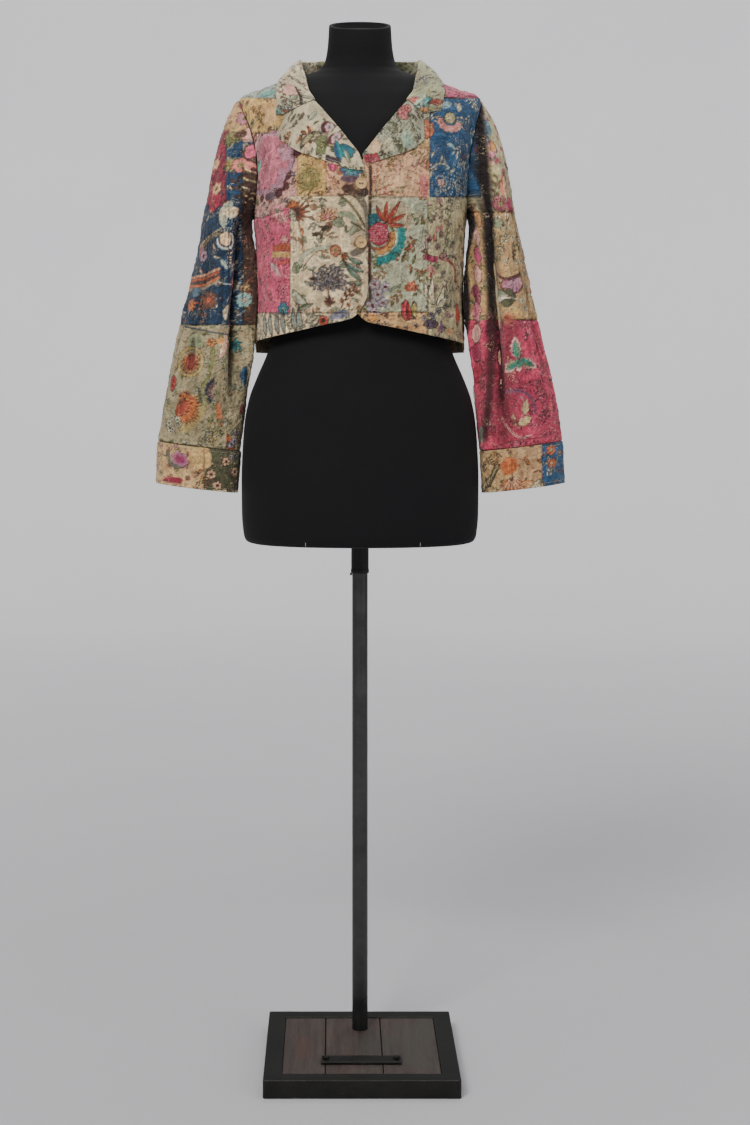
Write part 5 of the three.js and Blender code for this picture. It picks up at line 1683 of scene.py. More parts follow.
# %% Fronts
for side, patches, seed in ((RIGHT, RIGHT_FRONT, 21), (LEFT, LEFT_FRONT, 22)):
    columns = coarse_multiple(205 / FRONT_STEP) + 1
    points, normals = front_panel(side, FRONT_STEP, columns, 4)
    row = len(points) - len(even_rows(side["arm"], FRONT_STEP)[0])
    u, v = lengths(points, row, 0, side["hand"], True)
    cloth = Print(points, normals, u, v, "cream", seed)
    lay_boxes(cloth, 85, 100, HIDDEN)
    lay_patches(cloth, patches)
    draw_motifs(cloth, "front_" + side["name"])
    edge = from_edge(points, ["end"])
    make_cloth(
        "cloth_front_" + side["name"], points, normals, cloth, 1.0, joint=edge,
        still=from_edge(points, ["start"]), sewn=(("low", 11), ("start", 6))
    )

# %% Back
columns = coarse_multiple(430 / BACK_STEP) + 1
points, normals = back_panel(BACK_STEP, columns, 4)
row = len(points) - len(even_rows(ARMHOLE_BACK, BACK_STEP)[0])
u, v = lengths(points, row, columns // 2)
cloth = Print(points, normals, u, v, "ochre", 23)
cloth.shown[:] = False
lay_boxes(cloth, 88, 96, HIDDEN[::-1], offset=(-44, 10))
make_cloth(
    "cloth_back", points, normals, cloth, 1.0, joint=from_edge(points, ["start", "end"]), sewn=(("low", 11),)
)

# %% Sleeves and cuffs
AROUND = 208
for side, patches, cuff_patches, seed in (
    (RIGHT, RIGHT_SLEEVE, RIGHT_CUFF, 31),
    (LEFT, LEFT_SLEEVE, LEFT_CUFF, 32),
):
    points = sleeve_surface(side, AROUND, 60, coarse_multiple((SLEEVE_TOP - CUFF_TOP) / SLEEVE_STEP))
    normals = grid_normals(points, True) * side["hand"]
    points[0] -= normals[0] * 0.9
    u, v = lengths(points, len(points) - 1, AROUND // 2, -side["hand"])
    cloth = Print(points, normals, u, v, "blue" if side is RIGHT else "rose", seed)
    lay_boxes(cloth, 80, 92, HIDDEN[2:] + HIDDEN[:2])
    lay_patches(cloth, patches)
    draw_motifs(cloth, "sleeve_" + side["name"])
    ends = from_edge(points, ["low", "high"])
    make_cloth("cloth_sleeve_" + side["name"], points, normals, cloth, 1.35, ring=True, long=2.6, joint=ends)
    points = cuff_surface(side, AROUND, 44)
    normals = grid_normals(points, True) * side["hand"]
    points = points + normals * 0.7
    u, v = lengths(points, len(points) - 1, AROUND // 2, -side["hand"])
    cloth = Print(points, normals, u, v, "tan", seed + 5)
    lay_boxes(cloth, 76, 80, HIDDEN[3:] + HIDDEN[:3])
    lay_patches(cloth, cuff_patches)
    draw_motifs(cloth, "cuff_" + side["name"])
    low = from_edge(points, ["low"])
    make_cloth(
        "cloth_cuff_" + side["name"], points, normals, cloth, 0.7, 2.5, True, joint=low,
        sewn=(("low", 4), ("high", 5))
    )

# %% Collar and lapels
FOLDED = 1.5
points = collar_surface(144, 14, 10, 40).transpose(1, 0, 2)
points = points[: len(points) // 4 * 4 + 1]
normals = grid_normals(points)
points = points + normals * FOLDED
u, v = lengths(points, 18, 144)
cloth = Print(points, normals, u, -v, "cream", 41)
lay_boxes(cloth, 90, 200, [HIDDEN[0], HIDDEN[3]], offset=(0, -100))
lay_patches(cloth, COLLAR_PATCHES)
draw_motifs(cloth, "collar")
make_cloth(
    "cloth_collar", points, normals, cloth, 0.45, FOLDED, still=from_edge(points, ["start", "end"]),
    sewn=(("high", 5),)
)
for side, patches, seed in ((RIGHT, RIGHT_LAPEL, 51), (LEFT, LEFT_LAPEL, 52)):
    points = lapel_surface(side, 96, 64)
    normals = grid_normals(points) * side["hand"]
    points = points + normals * FOLDED
    u, v = lengths(points, 0, 0, side["hand"])
    cloth = Print(points, normals, u, v, "cream" if side is RIGHT else "sage", seed)
    lay_patches(cloth, patches)
    draw_motifs(cloth, "lapel_" + side["name"])
    edge = from_edge(points, ["start", "end", "low", "high"])
    make_cloth(
        "cloth_lapel_" + side["name"], points, normals, cloth, 0.45, FOLDED, still=edge, sewn=(("end", 5),)
    )
print("cloth pieces:", len(PIECES))

# %% [markdown]
# ## Form and stand
#
# Everything hard is made of rings too: turned parts are round rings, and the tray, the boards and the bolts
# are rings with rounded corners that climb from the middle of the underside to the middle of the top.


# %% Ring makers
def ring_piece(name, rings, low=True, high=True):
    """A closed piece from rings of points in mm; its ends are closed by fans."""
    rings = np.asarray(rings, float)
    rows, columns = rings.shape[:2]
    points = rings.reshape(-1, 3)
    index = np.arange(rows * columns).reshape(rows, columns)
    fans = []
    for closed, ring in ((low, 0), (high, rows - 1)):
        if closed:
            points = np.concatenate([points, rings[ring].mean(0, keepdims=True)])
            a, b = index[ring], np.roll(index[ring], -1)
            middle = np.full(columns, len(points) - 1)
            fans.append(np.stack([b, a, middle] if ring == 0 else [a, b, middle], -1))
    quads = grid_quads(index, True)
    if not low and not high:
        quads = np.concatenate(
            [quads, np.stack([index[-1], np.roll(index[-1], -1), np.roll(index[0], -1), index[0]], -1)]
        )
    return make_mesh(name, points, quads, np.concatenate(fans) if fans else None)


def rounded(half_x, half_y, r, straight=12, corner=6):
    """A rectangle with rounded corners, as points round it."""
    r = min(r, half_x - 0.01, half_y - 0.01)
    points = []
    for k in range(4):
        turn = math.radians(90 * k)
        cx, cy = (half_x - r) * (1, -1, -1, 1)[k], (half_y - r) * (1, 1, -1, -1)[k]
        for u in np.linspace(0, math.pi / 2, corner + 1):
            points.append((cx + r * math.cos(turn + u), cy + r * math.sin(turn + u)))
        nx, ny = (half_x - r) * (1, -1, -1, 1)[(k + 1) % 4], (half_y - r) * (1, 1, -1, -1)[(k + 1) % 4]
        end, way = points[-1], math.radians(90 * (k + 1))
        goal = (nx + r * math.cos(way), ny + r * math.sin(way))
        for u in np.linspace(0, 1, straight + 2)[1:-1]:
            points.append((lerp(end[0], goal[0], u), lerp(end[1], goal[1], u)))
    return np.array(points)


def edged(profile, bevel):
    """A profile of (inset, height) with each corner cut round."""
    p = np.array(profile, float)
    out = [p[0]]
    for a, b, c in zip(p, p[1:], p[2:]):
        r = min(bevel, np.linalg.norm(b - a) * 0.45, np.linalg.norm(c - b) * 0.45)
        start, end = b + (a - b) / np.linalg.norm(a - b) * r, b + (c - b) / np.linalg.norm(c - b) * r
        for t in (0, 0.25, 0.5, 0.75, 1):
            out.append((1 - t) ** 2 * start + 2 * t * (1 - t) * b + t * t * end)
    return np.array(out + [p[-1]])


def slab(name, x, y, profile, bevel, corner, centre_z=0.0):
    """A block from a profile of (inset, height) taken round a rectangle."""
    cx, cy, hx, hy = (x[0] + x[1]) / 2, (y[0] + y[1]) / 2, (x[1] - x[0]) / 2, (y[1] - y[0]) / 2
    rings = []
    for inset, z in edged(profile, bevel):
        flat = rounded(hx - inset, hy - inset, max(corner - inset, 0.4))
        rings.append(np.column_stack([flat[:, 0] + cx, flat[:, 1] + cy, np.full(len(flat), z + centre_z)]))
    return ring_piece(name, rings)


def lathe(profile, sides, bevel=0.6):
    """Rings of a turned part about the z axis, from (radius, height)."""
    a = np.linspace(0, 2 * np.pi, sides, endpoint=False)
    return np.array(
        [np.column_stack([r * np.cos(a), r * np.sin(a), np.full(sides, z)]) for r, z in edged(profile, bevel)]
    )


# %% Dress form
FORM_BOTTOM, NECK_FROM, NECK_TOP, NECK_SLOPE, DISH_DEEP = 765, 1496, 1551, 0.31, 9
NECK_SEAM_Z, NECK_SEAM_DEEP = 1481, 0.7


def form_ring(z, inset=0.0, drop=0.0, shrink=None):
    angle = np.linspace(0, 2 * np.pi, 160, endpoint=False)
    inset = inset + NECK_SEAM_DEEP * bell(z - NECK_SEAM_Z, 1.5)
    k = 1 - inset / FORM["half"](z) if shrink is None else shrink
    sizes = {key: (lambda h, f=FORM[key]: f(h) * k) for key in ("half", "front", "back")}
    ring = section(sizes, angle, np.full_like(angle, z))
    ring[:, 2] += NECK_SLOPE * ring[:, 1] * ease(NECK_FROM, NECK_TOP, z) - drop
    return ring


levels = np.concatenate(
    [np.linspace(FORM_BOTTOM, 777, 9), np.arange(780, 1450, 5), np.linspace(1450, NECK_TOP - 1.2, 48)]
)
rings = [form_ring(FORM_BOTTOM, shrink=k) for k in (0.08, 0.5, 0.9, 0.985)]
rings += [form_ring(z) for z in levels]
rings += [form_ring(NECK_TOP, i, d) for i, d in ((0.35, 0.3), (1.2, -0.1), (3.8, -0.1), (4.8, 0.4))]
rings += [
    form_ring(NECK_TOP, i, d) for i, d in ((5.2, 1.5), (6.4, 8), (7.4, 8.8), (12, DISH_DEEP), (30, DISH_DEEP))
]
torso = ring_piece("form_cover", rings)
PIECES["form_cover"] = torso
print("form rings:", len(rings))

# Two short white threads mark where the sides of the front meet the lower edge.
TICK_AT, TICK_LOW, TICK_HIGH = (-76, 82), 767.5, 773
ticks = []
for x in TICK_AT:
    marks = []
    for z in np.linspace(TICK_LOW, TICK_HIGH, 5):
        turn = math.asin(abs(x) / FORM["half"](z)) * np.sign(x)
        marks.append(section(FORM, turn, z) + [0, -0.2, 0])
    ticks.append(np.array(marks))

# %% Pole, socket and pin
POLE_RADIUS, POLE_LOW, POLE_HIGH, SOCKET_RADIUS, SOCKET_LOW, SOCKET_HIGH = 11.8, 24.8, 760, 13.8, 718, 764.7
heights = np.linspace(POLE_LOW + 1.5, POLE_HIGH - 1.5, 24)
pole = ring_piece(
    "pole_tube",
    lathe(
        [(3, POLE_LOW), (POLE_RADIUS, POLE_LOW)] + [(POLE_RADIUS, h) for h in heights] + [
            (POLE_RADIUS, POLE_HIGH), (3, POLE_HIGH)
        ],
        64
    ),
)
bore = POLE_RADIUS + 0.5
socket = ring_piece(
    "socket_tube",
    lathe(
        [
            (bore + 0.5, SOCKET_LOW), (SOCKET_RADIUS, SOCKET_LOW), (SOCKET_RADIUS, SOCKET_LOW + 5), (
                SOCKET_RADIUS - 0.5, SOCKET_LOW + 6
            ),
            (
                SOCKET_RADIUS - 0.5, SOCKET_HIGH - 3
            ), (SOCKET_RADIUS, SOCKET_HIGH - 2), (SOCKET_RADIUS, SOCKET_HIGH), (3, SOCKET_HIGH),
            (3, POLE_HIGH + 0.4), (bore, POLE_HIGH + 0.4), (bore, SOCKET_LOW + 0.5),
        ],
        64, 0.5,
    ),
    False, False,
)  # fmt: skip
pin_rings = lathe([(0.3, 0), (1.7, 0), (1.7, 3.4), (0.3, 3.4)], 24, 0.5)[..., [2, 1, 0]]
pin_rings = np.array([-(POLE_RADIUS + SEAM), 0, SOCKET_LOW - 1.7 - SEAM]) - pin_rings * [1, 1, 1]
pin = ring_piece("pin_stud", pin_rings)

# %% Base
BASE = {"side": 280, "high": 26, "centre": -69, "edge": 26, "floor": 12, "top": 24.5}
half, cy = BASE["side"] / 2, BASE["centre"]
tray_profile = [(120, 0), (0, 0), (0, 26), (26, 26), (26, 12), (130, 12)]
tray = slab("tray_frame", (-half, half), (cy - half, cy + half), tray_profile, 1.1, 3)
well = half - BASE["edge"] - SEAM
boards = []
for name, x0, x1 in (("right", -114, -52), ("middle", -52, 31), ("left", 31, 114)):
    low = BASE["floor"] + SEAM
    profile = [(20, low), (0, low), (0, BASE["top"]), (20, BASE["top"])]
    boards.append(
        slab("board_" + name, (x0 + 2 * SEAM, x1 - 2 * SEAM), (cy - well, cy + well), profile, 1.4, 1.6)
    )
low = BASE["top"] + SEAM
bar = slab("bar_plate", (-58, 58), (-147, -121), [(9, low), (0, low), (0, low + 4), (9, low + 4)], 0.8, 2)
bolts = []
for name, x in (("right", -51), ("left", 51)):
    foot = low + 4 + SEAM
    head = lathe([(0.6, 0), (4.6, 0), (4.6, 2.9), (3.9, 3.6), (0.6, 3.6)], 48, 0.4)
    a = np.arctan2(head[..., 1], head[..., 0])
    hexagon = np.cos(np.pi / 6) / np.cos((a % (np.pi / 3)) - np.pi / 6)
    head[..., :2] *= lerp(1, hexagon, ease(0, 3.4, 3.6 - head[..., 2]) * 0.9 + 0.1)[..., None] * 1.0
    bolts.append(ring_piece("bolt_head_" + name, head + [x, -134, foot]))
print("stand pieces:", 5 + len(boards) + len(bolts))

# %% Buttons
BUTTON_RADIUS, BUTTON_THICK, SEAT = 8.2, 3.2, 0.25
buttons, threads = [], []
for name, z in (("upper", 1296.0), ("lower", 1212.0)):
    r, t = BUTTON_RADIUS, BUTTON_THICK
    profile = [
        (0.5, 0), (r * 0.8, 0), (r, t * 0.35), (r, t * 0.75), (r * 0.93, t), (r * 0.8, t),
        (r * 0.7, t * 0.72), (r * 0.66, t * 0.68)
    ]
    profile += [(q, t * 0.66) for q in np.linspace(r * 0.62, 0.4, 14)]
    disc = lathe(profile, 72, 0.25)
    near = np.minimum(np.hypot(disc[..., 0] - 2, disc[..., 1]), np.hypot(disc[..., 0] + 2, disc[..., 1]))
    face = disc[..., 2] > t * 0.6
    disc[..., 2] -= np.where(face, 1.6 * (1 - ease(0.75, 1.35, near)), 0)
    normal = body_normal(0.0, z)
    seat = front_point(RIGHT, 0.0, z, SEAT)
    across = unit(np.cross([0, 1.0, 0], normal) if abs(normal[1]) < 0.5 else np.array([1.0, 0, 0]))
    up = np.cross(normal, across)
    axes = np.array([across, up, normal])
    buttons.append(ring_piece("button_" + name + "_disc", disc @ axes + seat))
    arc = np.linspace(0, np.pi, 13)
    loops = []
    for dy in (-0.28, 0.28):
        path = np.column_stack(
            [
                -2 * np.cos(arc), np.full(13, dy),
                t * 0.62 + 0.75 * np.sin(arc) ** 0.5 - 0.9 * (np.abs(np.cos(arc)) > 0.98)
            ]
        )
        loops.append(path @ axes + seat)
    threads.append(loops)


def tube(name, paths, radius, sides=8):
    """Round threads along some paths, as one mesh."""
    all_points, quads, tris, at = [], [], [], 0
    for path in paths:
        way = unit(np.gradient(path, axis=0))
        side = unit(np.cross(way, [0.3, 0.2, 1.0]))
        other = np.cross(way, side)
        a = np.linspace(0, 2 * np.pi, sides, endpoint=False)
        ring = path[:, None] + radius * (
            side[:, None] * np.cos(a)[None, :, None] + other[:, None] * np.sin(a)[None, :, None]
        )
        index = at + np.arange(ring.shape[0] * sides).reshape(-1, sides)
        all_points += [ring.reshape(-1, 3), path[:1], path[-1:]]
        quads.append(grid_quads(index, True))
        end = at + ring.shape[0] * sides
        tris.append(np.stack([np.roll(index[0], -1), index[0], np.full(sides, end)], -1))
        tris.append(np.stack([index[-1], np.roll(index[-1], -1), np.full(sides, end + 1)], -1))
        at = end + 2
    return make_mesh(name, np.concatenate(all_points), np.concatenate(quads), np.concatenate(tris))


def mark_edges(piece):
    """Writes how sharply each point turns, from 0 on a flat face to 1 on a corner, for the worn edges, and for the
    buttons' dark rims and holes, which are partly painted shade.
    """
    mesh = piece.data
    across = np.zeros(len(mesh.loops), np.int32)
    mesh.loops.foreach_get("vertex_index", across)
    flat = np.zeros(len(mesh.polygons) * 3, np.float32)
    mesh.polygons.foreach_get("normal", flat)
    sizes = np.zeros(len(mesh.polygons), np.int32)
    mesh.polygons.foreach_get("loop_total", sizes)
    face = np.repeat(flat.reshape(-1, 3), sizes, axis=0)
    total, count = np.zeros((len(mesh.vertices), 3)), np.zeros(len(mesh.vertices))
    np.add.at(total, across, face)
    np.add.at(count, across, 1)
    sharp = 1 - np.linalg.norm(total / count[:, None], axis=1)
    mesh.attributes.new("edge", "FLOAT", "POINT").data.foreach_set(
        "value", np.clip(sharp * 14, 0, 1).astype(np.float32)
    )


for piece in (pole, socket, pin, tray, bar, *bolts, *buttons):
    mark_edges(piece)
threads = [tube(f"button_thread_{k}", loops, 0.3) for k, loops in enumerate(threads)]
ticks = tube("form_ticks", ticks, 0.45)
print("buttons:", len(buttons))

# %% [markdown]
# ## Materials
#
# A small helper keeps node trees short: each call adds one node, links what is a socket and sets what is a
# number.


# %% Node helper
class Tree:
    def __init__(self, name):
        self.material = bpy.data.materials.new(name)
        self.material.use_nodes = True
        self.nodes, self.links = self.material.node_tree.nodes, self.material.node_tree.links
        self.shader = self.nodes["Principled BSDF"]

    def add(self, kind, out=0, settings=None, **inputs):
        """Adds a node; inputs are named in capitals with _ for a space, or i0, i1 by place."""
        node = self.nodes.new("ShaderNode" + kind)
        for key, value in (settings or {}).items():
            setattr(node, key, value)
        for key, value in inputs.items():
            socket = node.inputs[int(key[1:])] if key[0] == "i" and key[1:].isdigit() else node.inputs[
                key.replace("_", " ")
            ]
            self.put(socket, value)
        return node.outputs[out]

    def put(self, socket, value):
        if isinstance(value, bpy.types.NodeSocket):
            self.links.new(value, socket)
        else:
            socket.default_value = value

    def maths(self, operation, a, b=0.5, c=0.5):
        return self.add("Math", settings={"operation": operation}, i0=a, i1=b, i2=c)

    def shift(self, value, low, high, to_low=0.0, to_high=1.0):
        return self.add("MapRange", Value=value, From_Min=low, From_Max=high, To_Min=to_low, To_Max=to_high)

    def noise(self, vector, scale, detail=3.0, rough=0.55):
        return self.add("TexNoise", Vector=vector, Scale=scale, Detail=detail, Roughness=rough)

    def mix(self, share, a, b, kind="MIX"):
        node = self.nodes.new("ShaderNodeMix")
        node.data_type, node.blend_type = "RGBA", kind
        for socket, value in ((node.inputs["Factor"], share), (node.inputs["A"], a), (node.inputs["B"], b)):
            inputs = [
                s for s in node.inputs if s.name == socket.name and s.type == (
                    "VALUE" if s.name == "Factor" else "RGBA"
                )
            ]
            self.put(inputs[0], value)
        return [o for o in node.outputs if o.type == "RGBA"][0]

    def place(self):
        return self.add("TexCoord", 3)

    def stretch(self, vector, scale):
        return self.add("Mapping", Vector=vector, Scale=scale)

    def bump(self, height, strength, distance, normal=None):
        more = {} if normal is None else {"Normal": normal}
        return self.add("Bump", Height=height, Strength=strength, Distance=distance, **more)

    def finish(self, **inputs):
        for key, value in inputs.items():
            self.put(self.shader.inputs[key.replace("_", " ")], value)
        return self.material


def linear(code, alpha=1.0):
    c = tone(code)
    return tuple(np.where(c <= 0.04045, c / 12.92, ((c + 0.055) / 1.055) ** 2.4)) + (alpha,)


# %% Cotton
def cotton():
    m = Tree("cotton_print")
    colour = m.add("Attribute", 0, {"attribute_name": "print"})
    ink = m.add("Attribute", 2, {"attribute_name": "ink"})
    cloth = m.stretch(m.add("Attribute", 1, {"attribute_name": "cloth"}), (1000, 1000, 1))
    wobble = m.noise(cloth, 0.9, 2.0)
    drawn = m.shift(m.maths("ADD", ink, m.shift(wobble, 0.3, 0.7, -0.3, 0.3)), -0.28, 0.28)
    fade = m.shift(m.noise(cloth, 0.16, 3.0), 0.35, 0.65, 0.6, 1.0)

    def hairlines(scale, turns, half, seed, low, high):
        """Thin curling lines, as fine block printing leaves, over part of the cloth."""
        there = m.add("VectorMath", settings={"operation": "ADD"}, i0=cloth, i1=(seed * 37.0, seed * 11.0, 0))
        curl = m.maths("PINGPONG", m.maths("MULTIPLY", m.noise(there, scale, 2.0), turns), 0.5)
        where = m.shift(m.noise(there, scale * 0.4, 2.0), low, high)
        return m.maths("MULTIPLY", m.shift(curl, half, half * 2, 1.0, 0.0), where)

    dark_lines = m.maths(
        "MAXIMUM", hairlines(0.085, 6.0, 0.04, 1, 0.5, 0.56), hairlines(0.2, 4.0, 0.045, 2, 0.56, 0.62)
    )
    pale_lines = hairlines(0.13, 5.0, 0.05, 3, 0.53, 0.6)
    seeds = m.add("TexVoronoi", 0, Vector=cloth, Scale=0.24)
    seeds = m.maths(
        "MULTIPLY", m.shift(seeds, 0.12, 0.22, 1.0, 0.0), m.shift(m.noise(cloth, 0.06, 2.0), 0.56, 0.62)
    )
    drift = m.noise(cloth, 0.055, 3.0, 0.6)
    tinted = m.mix(m.shift(drift, 0.5, 0.7, 0.0, 0.45), colour, linear("a8a27a"), "MULTIPLY")
    tinted = m.mix(m.shift(drift, 0.3, 0.48, 0.5, 0.0), tinted, linear("c08f76"), "MULTIPLY")
    tinted = m.mix(m.maths("MULTIPLY", pale_lines, 0.3), tinted, linear("d6c6a6"))
    busy = m.maths("MAXIMUM", dark_lines, seeds)
    tinted = m.mix(m.maths("MULTIPLY", busy, 0.68), tinted, linear("6c5f55"), "MULTIPLY")
    printed = m.mix(m.maths("MULTIPLY", drawn, fade), tinted, linear("2c2224"))
    aged = m.shift(m.noise(cloth, 0.05, 4.0), 0.3, 0.7, 0.86, 1.18)
    thread = m.stretch(cloth, (1.9, 0.16, 1))
    weft = m.stretch(cloth, (0.16, 1.9, 1))
    slub = m.maths("ADD", m.noise(thread, 1.0, 2.0), m.noise(weft, 1.0, 2.0))
    slub = m.shift(slub, 0.7, 1.3, 0.88, 1.12)
    # Painted shade from the creases: the colour drops to a quarter in the deepest valleys of creases and folds, and
    # rises by about half on the ridges, partly as wear and partly as painted light.
    worn = m.add("Attribute", 2, {"attribute_name": "wear"})
    value = m.maths("MULTIPLY", m.maths("MULTIPLY", aged, slub), m.shift(worn, -1.0, 1.0, 0.25, 1.55))
    shade = m.add(
        "CombineColor", Red=value, Green=m.maths("MULTIPLY", value, 0.955),
        Blue=m.maths("MULTIPLY", value, 0.86)
    )
    base = m.mix(1.0, printed, shade, "MULTIPLY")
    cross = m.maths(
        "MULTIPLY", m.noise(m.stretch(cloth, (2.1, 0.4, 1)), 1.0, 1.0),
        m.noise(m.stretch(cloth, (0.4, 2.1, 1)), 1.0, 1.0)
    )
    crumple = m.noise(cloth, 0.2, 4.0, 0.6)
    wrinkle = m.maths("ABSOLUTE", m.maths("SUBTRACT", m.noise(cloth, 0.085, 3.0, 0.55), 0.5))
    fine = m.bump(cross, 0.5, 0.0004)
    normal = m.bump(crumple, 0.8, 0.0026, fine)
    normal = m.bump(wrinkle, 0.9, 0.011, normal)
    rough = m.shift(crumple, 0.3, 0.7, 0.8, 0.95)
    return m.finish(
        Base_Color=base, Roughness=rough, Normal=normal, Sheen_Weight=0.12, Sheen_Roughness=0.5,
        Specular_IOR_Level=0.22
    )


def jersey():
    m = Tree("black_jersey")
    place = m.place()
    knit = m.maths(
        "MULTIPLY", m.noise(m.stretch(place, (1500, 1500, 500)), 1.0, 2.0),
        m.noise(m.stretch(place, (600, 600, 1600)), 1.0, 2.0)
    )
    cloud = m.noise(place, 14.0, 4.0)
    base = m.mix(m.shift(cloud, 0.3, 0.7), linear("0a0a0c"), linear("121214"))
    base = m.mix(m.shift(knit, 0.15, 0.4, 0.0, 0.35), base, linear("18181b"))
    return m.finish(
        Base_Color=base, Roughness=m.shift(cloud, 0.3, 0.7, 0.8, 0.95), Normal=m.bump(knit, 0.5, 0.0004),
        Sheen_Weight=0.03, Specular_IOR_Level=0.2
    )


def steel(name, dark, light, metal, low):
    m = Tree(name)
    place = m.place()
    edge = m.add("Attribute", 2, {"attribute_name": "edge"})
    cloud = m.noise(place, 22.0, 6.0, 0.62)
    grit = m.noise(place, 420.0, 3.0)
    scratch = m.noise(m.stretch(place, (60, 900, 300)), 1.0, 3.0)
    base = m.mix(m.shift(cloud, 0.35, 0.65), linear(dark), linear(light))
    worn = m.maths("MULTIPLY", edge, m.shift(grit, 0.35, 0.6, 0.1, 0.8))
    worn = m.maths("MAXIMUM", worn, m.shift(scratch, 0.66, 0.78, 0.0, 0.4))
    base = m.mix(worn, base, linear("706f69"))
    rough = m.shift(
        m.maths("ADD", m.maths("MULTIPLY", cloud, 0.8), m.maths("MULTIPLY", grit, 0.2)), 0.3, 0.7, low,
        low + 0.24
    )
    return m.finish(
        Base_Color=base, Metallic=metal, Roughness=rough,
        Normal=m.bump(m.maths("ADD", cloud, grit), 0.2, 0.0005)
    )


def wood():
    m = Tree("stained_boards")
    place = m.place()
    grain = m.noise(m.stretch(place, (120, 9, 60)), 1.0, 5.0, 0.6)
    fibre = m.noise(m.stretch(place, (900, 28, 300)), 1.0, 3.0, 0.7)
    stain = m.noise(m.stretch(place, (16, 9, 9)), 1.0, 4.0, 0.6)
    base = m.mix(m.shift(grain, 0.3, 0.7), linear("332a28"), linear("4e423b"))
    base = m.mix(m.shift(fibre, 0.55, 0.8, 0.0, 0.5), base, linear("615348"))
    base = m.mix(m.shift(stain, 0.5, 0.66, 0.0, 0.75), base, linear("403e37"))
    base = m.mix(m.shift(stain, 0.3, 0.42, 0.7, 0.0), base, linear("513329"))
    height = m.maths("ADD", m.maths("MULTIPLY", grain, 0.7), m.maths("MULTIPLY", fibre, 0.3))
    return m.finish(
        Base_Color=base, Roughness=m.shift(fibre, 0.3, 0.7, 0.5, 0.75), Normal=m.bump(height, 0.5, 0.0009)
    )


def shell_button():
    m = Tree("coconut_button")
    place = m.place()
    streak = m.noise(m.stretch(place, (260, 260, 1400)), 1.0, 4.0, 0.65)
    cloud = m.noise(place, 180.0, 3.0)
    base = m.mix(m.shift(streak, 0.35, 0.65), linear("a88252"), linear("d9b685"))
    base = m.mix(m.shift(cloud, 0.55, 0.7, 0.0, 0.35), base, linear("7d5c3c"))
    # Darker where the button turns sharply: at its rim, partly the button's own darker edge and partly painted shade,
    # and in the thread holes, as painted shade.
    edge = m.add("Attribute", 2, {"attribute_name": "edge"})
    base = m.mix(m.shift(edge, 0.04, 0.4, 0.0, 0.95), base, linear("4a3320"))
    return m.finish(
        Base_Color=base, Roughness=m.shift(cloud, 0.3, 0.7, 0.35, 0.55), Normal=m.bump(streak, 0.3, 0.0004)
    )


def yarn(name, code):
    m = Tree(name)
    place = m.place()
    twist = m.noise(m.stretch(place, (1800, 1800, 1800)), 1.0, 2.0)
    base = m.mix(m.shift(twist, 0.3, 0.7, 0.0, 0.5), linear(code), linear("8c8272"))
    return m.finish(
        Base_Color=base, Roughness=m.shift(twist, 0.3, 0.7, 0.7, 0.9), Normal=m.bump(twist, 0.4, 0.0002)
    )


def backdrop():
    m = Tree("painted_backdrop")
    place = m.place()
    cloud = m.noise(place, 1.3, 5.0, 0.6)
    speck = m.noise(place, 30.0, 3.0)
    base = m.mix(m.shift(cloud, 0.3, 0.7), linear("e8e7eb"), linear("f2f1f3"))
    base = m.mix(m.shift(speck, 0.5, 0.8, 0.0, 0.25), base, linear("dfdee2"))
    level = m.add("VectorMath", settings={"operation": "MULTIPLY"}, i0=place, i1=(1, 1, 0))
    far = m.add("VectorMath", 1, {"operation": "LENGTH"}, i0=level)
    # Painted shade: the floor is darker towards the stand in its middle.
    base = m.mix(m.shift(far, 4.5, 0.5, 0.0, 0.8), base, linear("b9b7bb"))
    # Painted light: the floor, and the wall beyond it, glow more the farther they lie from the stand.
    glow = m.shift(far, 0.8, 4.8, 0.0, WALL_GLOW)
    rough = m.shift(speck, 0.3, 0.7, 0.85, 0.95)
    return m.finish(Base_Color=base, Roughness=rough, Emission_Color=linear("f0eff2"), Emission_Strength=glow)


WALL_GLOW = 0.58
COTTON, JERSEY, WOOD, SHELL = cotton(), jersey(), wood(), shell_button()
FRAME_STEEL = steel("worn_frame_steel", "171715", "262623", 0.6, 0.42)
POLE_STEEL = steel("pole_steel", "3c3c3c", "4c4c4c", 0.9, 0.26)
SOCKET_STEEL = steel("socket_black", "0b0b0c", "141415", 0.4, 0.4)
STITCH, BUTTON_YARN = yarn("stitch_thread", "b8ab92"), yarn("button_yarn", "6e5237")


def paint(piece, material):
    piece.data.materials.clear()
    piece.data.materials.append(material)


for name, piece in PIECES.items():
    paint(piece, JERSEY if name == "form_cover" else COTTON)
for pieces, finish in (
    ((pole,), POLE_STEEL), ((socket, pin), SOCKET_STEEL), ((tray, bar, *bolts), FRAME_STEEL)
):
    for piece in pieces:
        paint(piece, finish)
for piece in boards:
    paint(piece, WOOD)
for piece in buttons:
    paint(piece, SHELL)
for piece in threads:
    paint(piece, BUTTON_YARN)
paint(ticks, STITCH)

# %% [markdown]
# ## Stitches
#
# Hems, cuffs and edges are topstitched. One small tree of Geometry Nodes does it: a line of points becomes
# a curve, the curve is cut into even steps, and a short bent thread is set on each step. Only the lines are
# kept from the cloth.


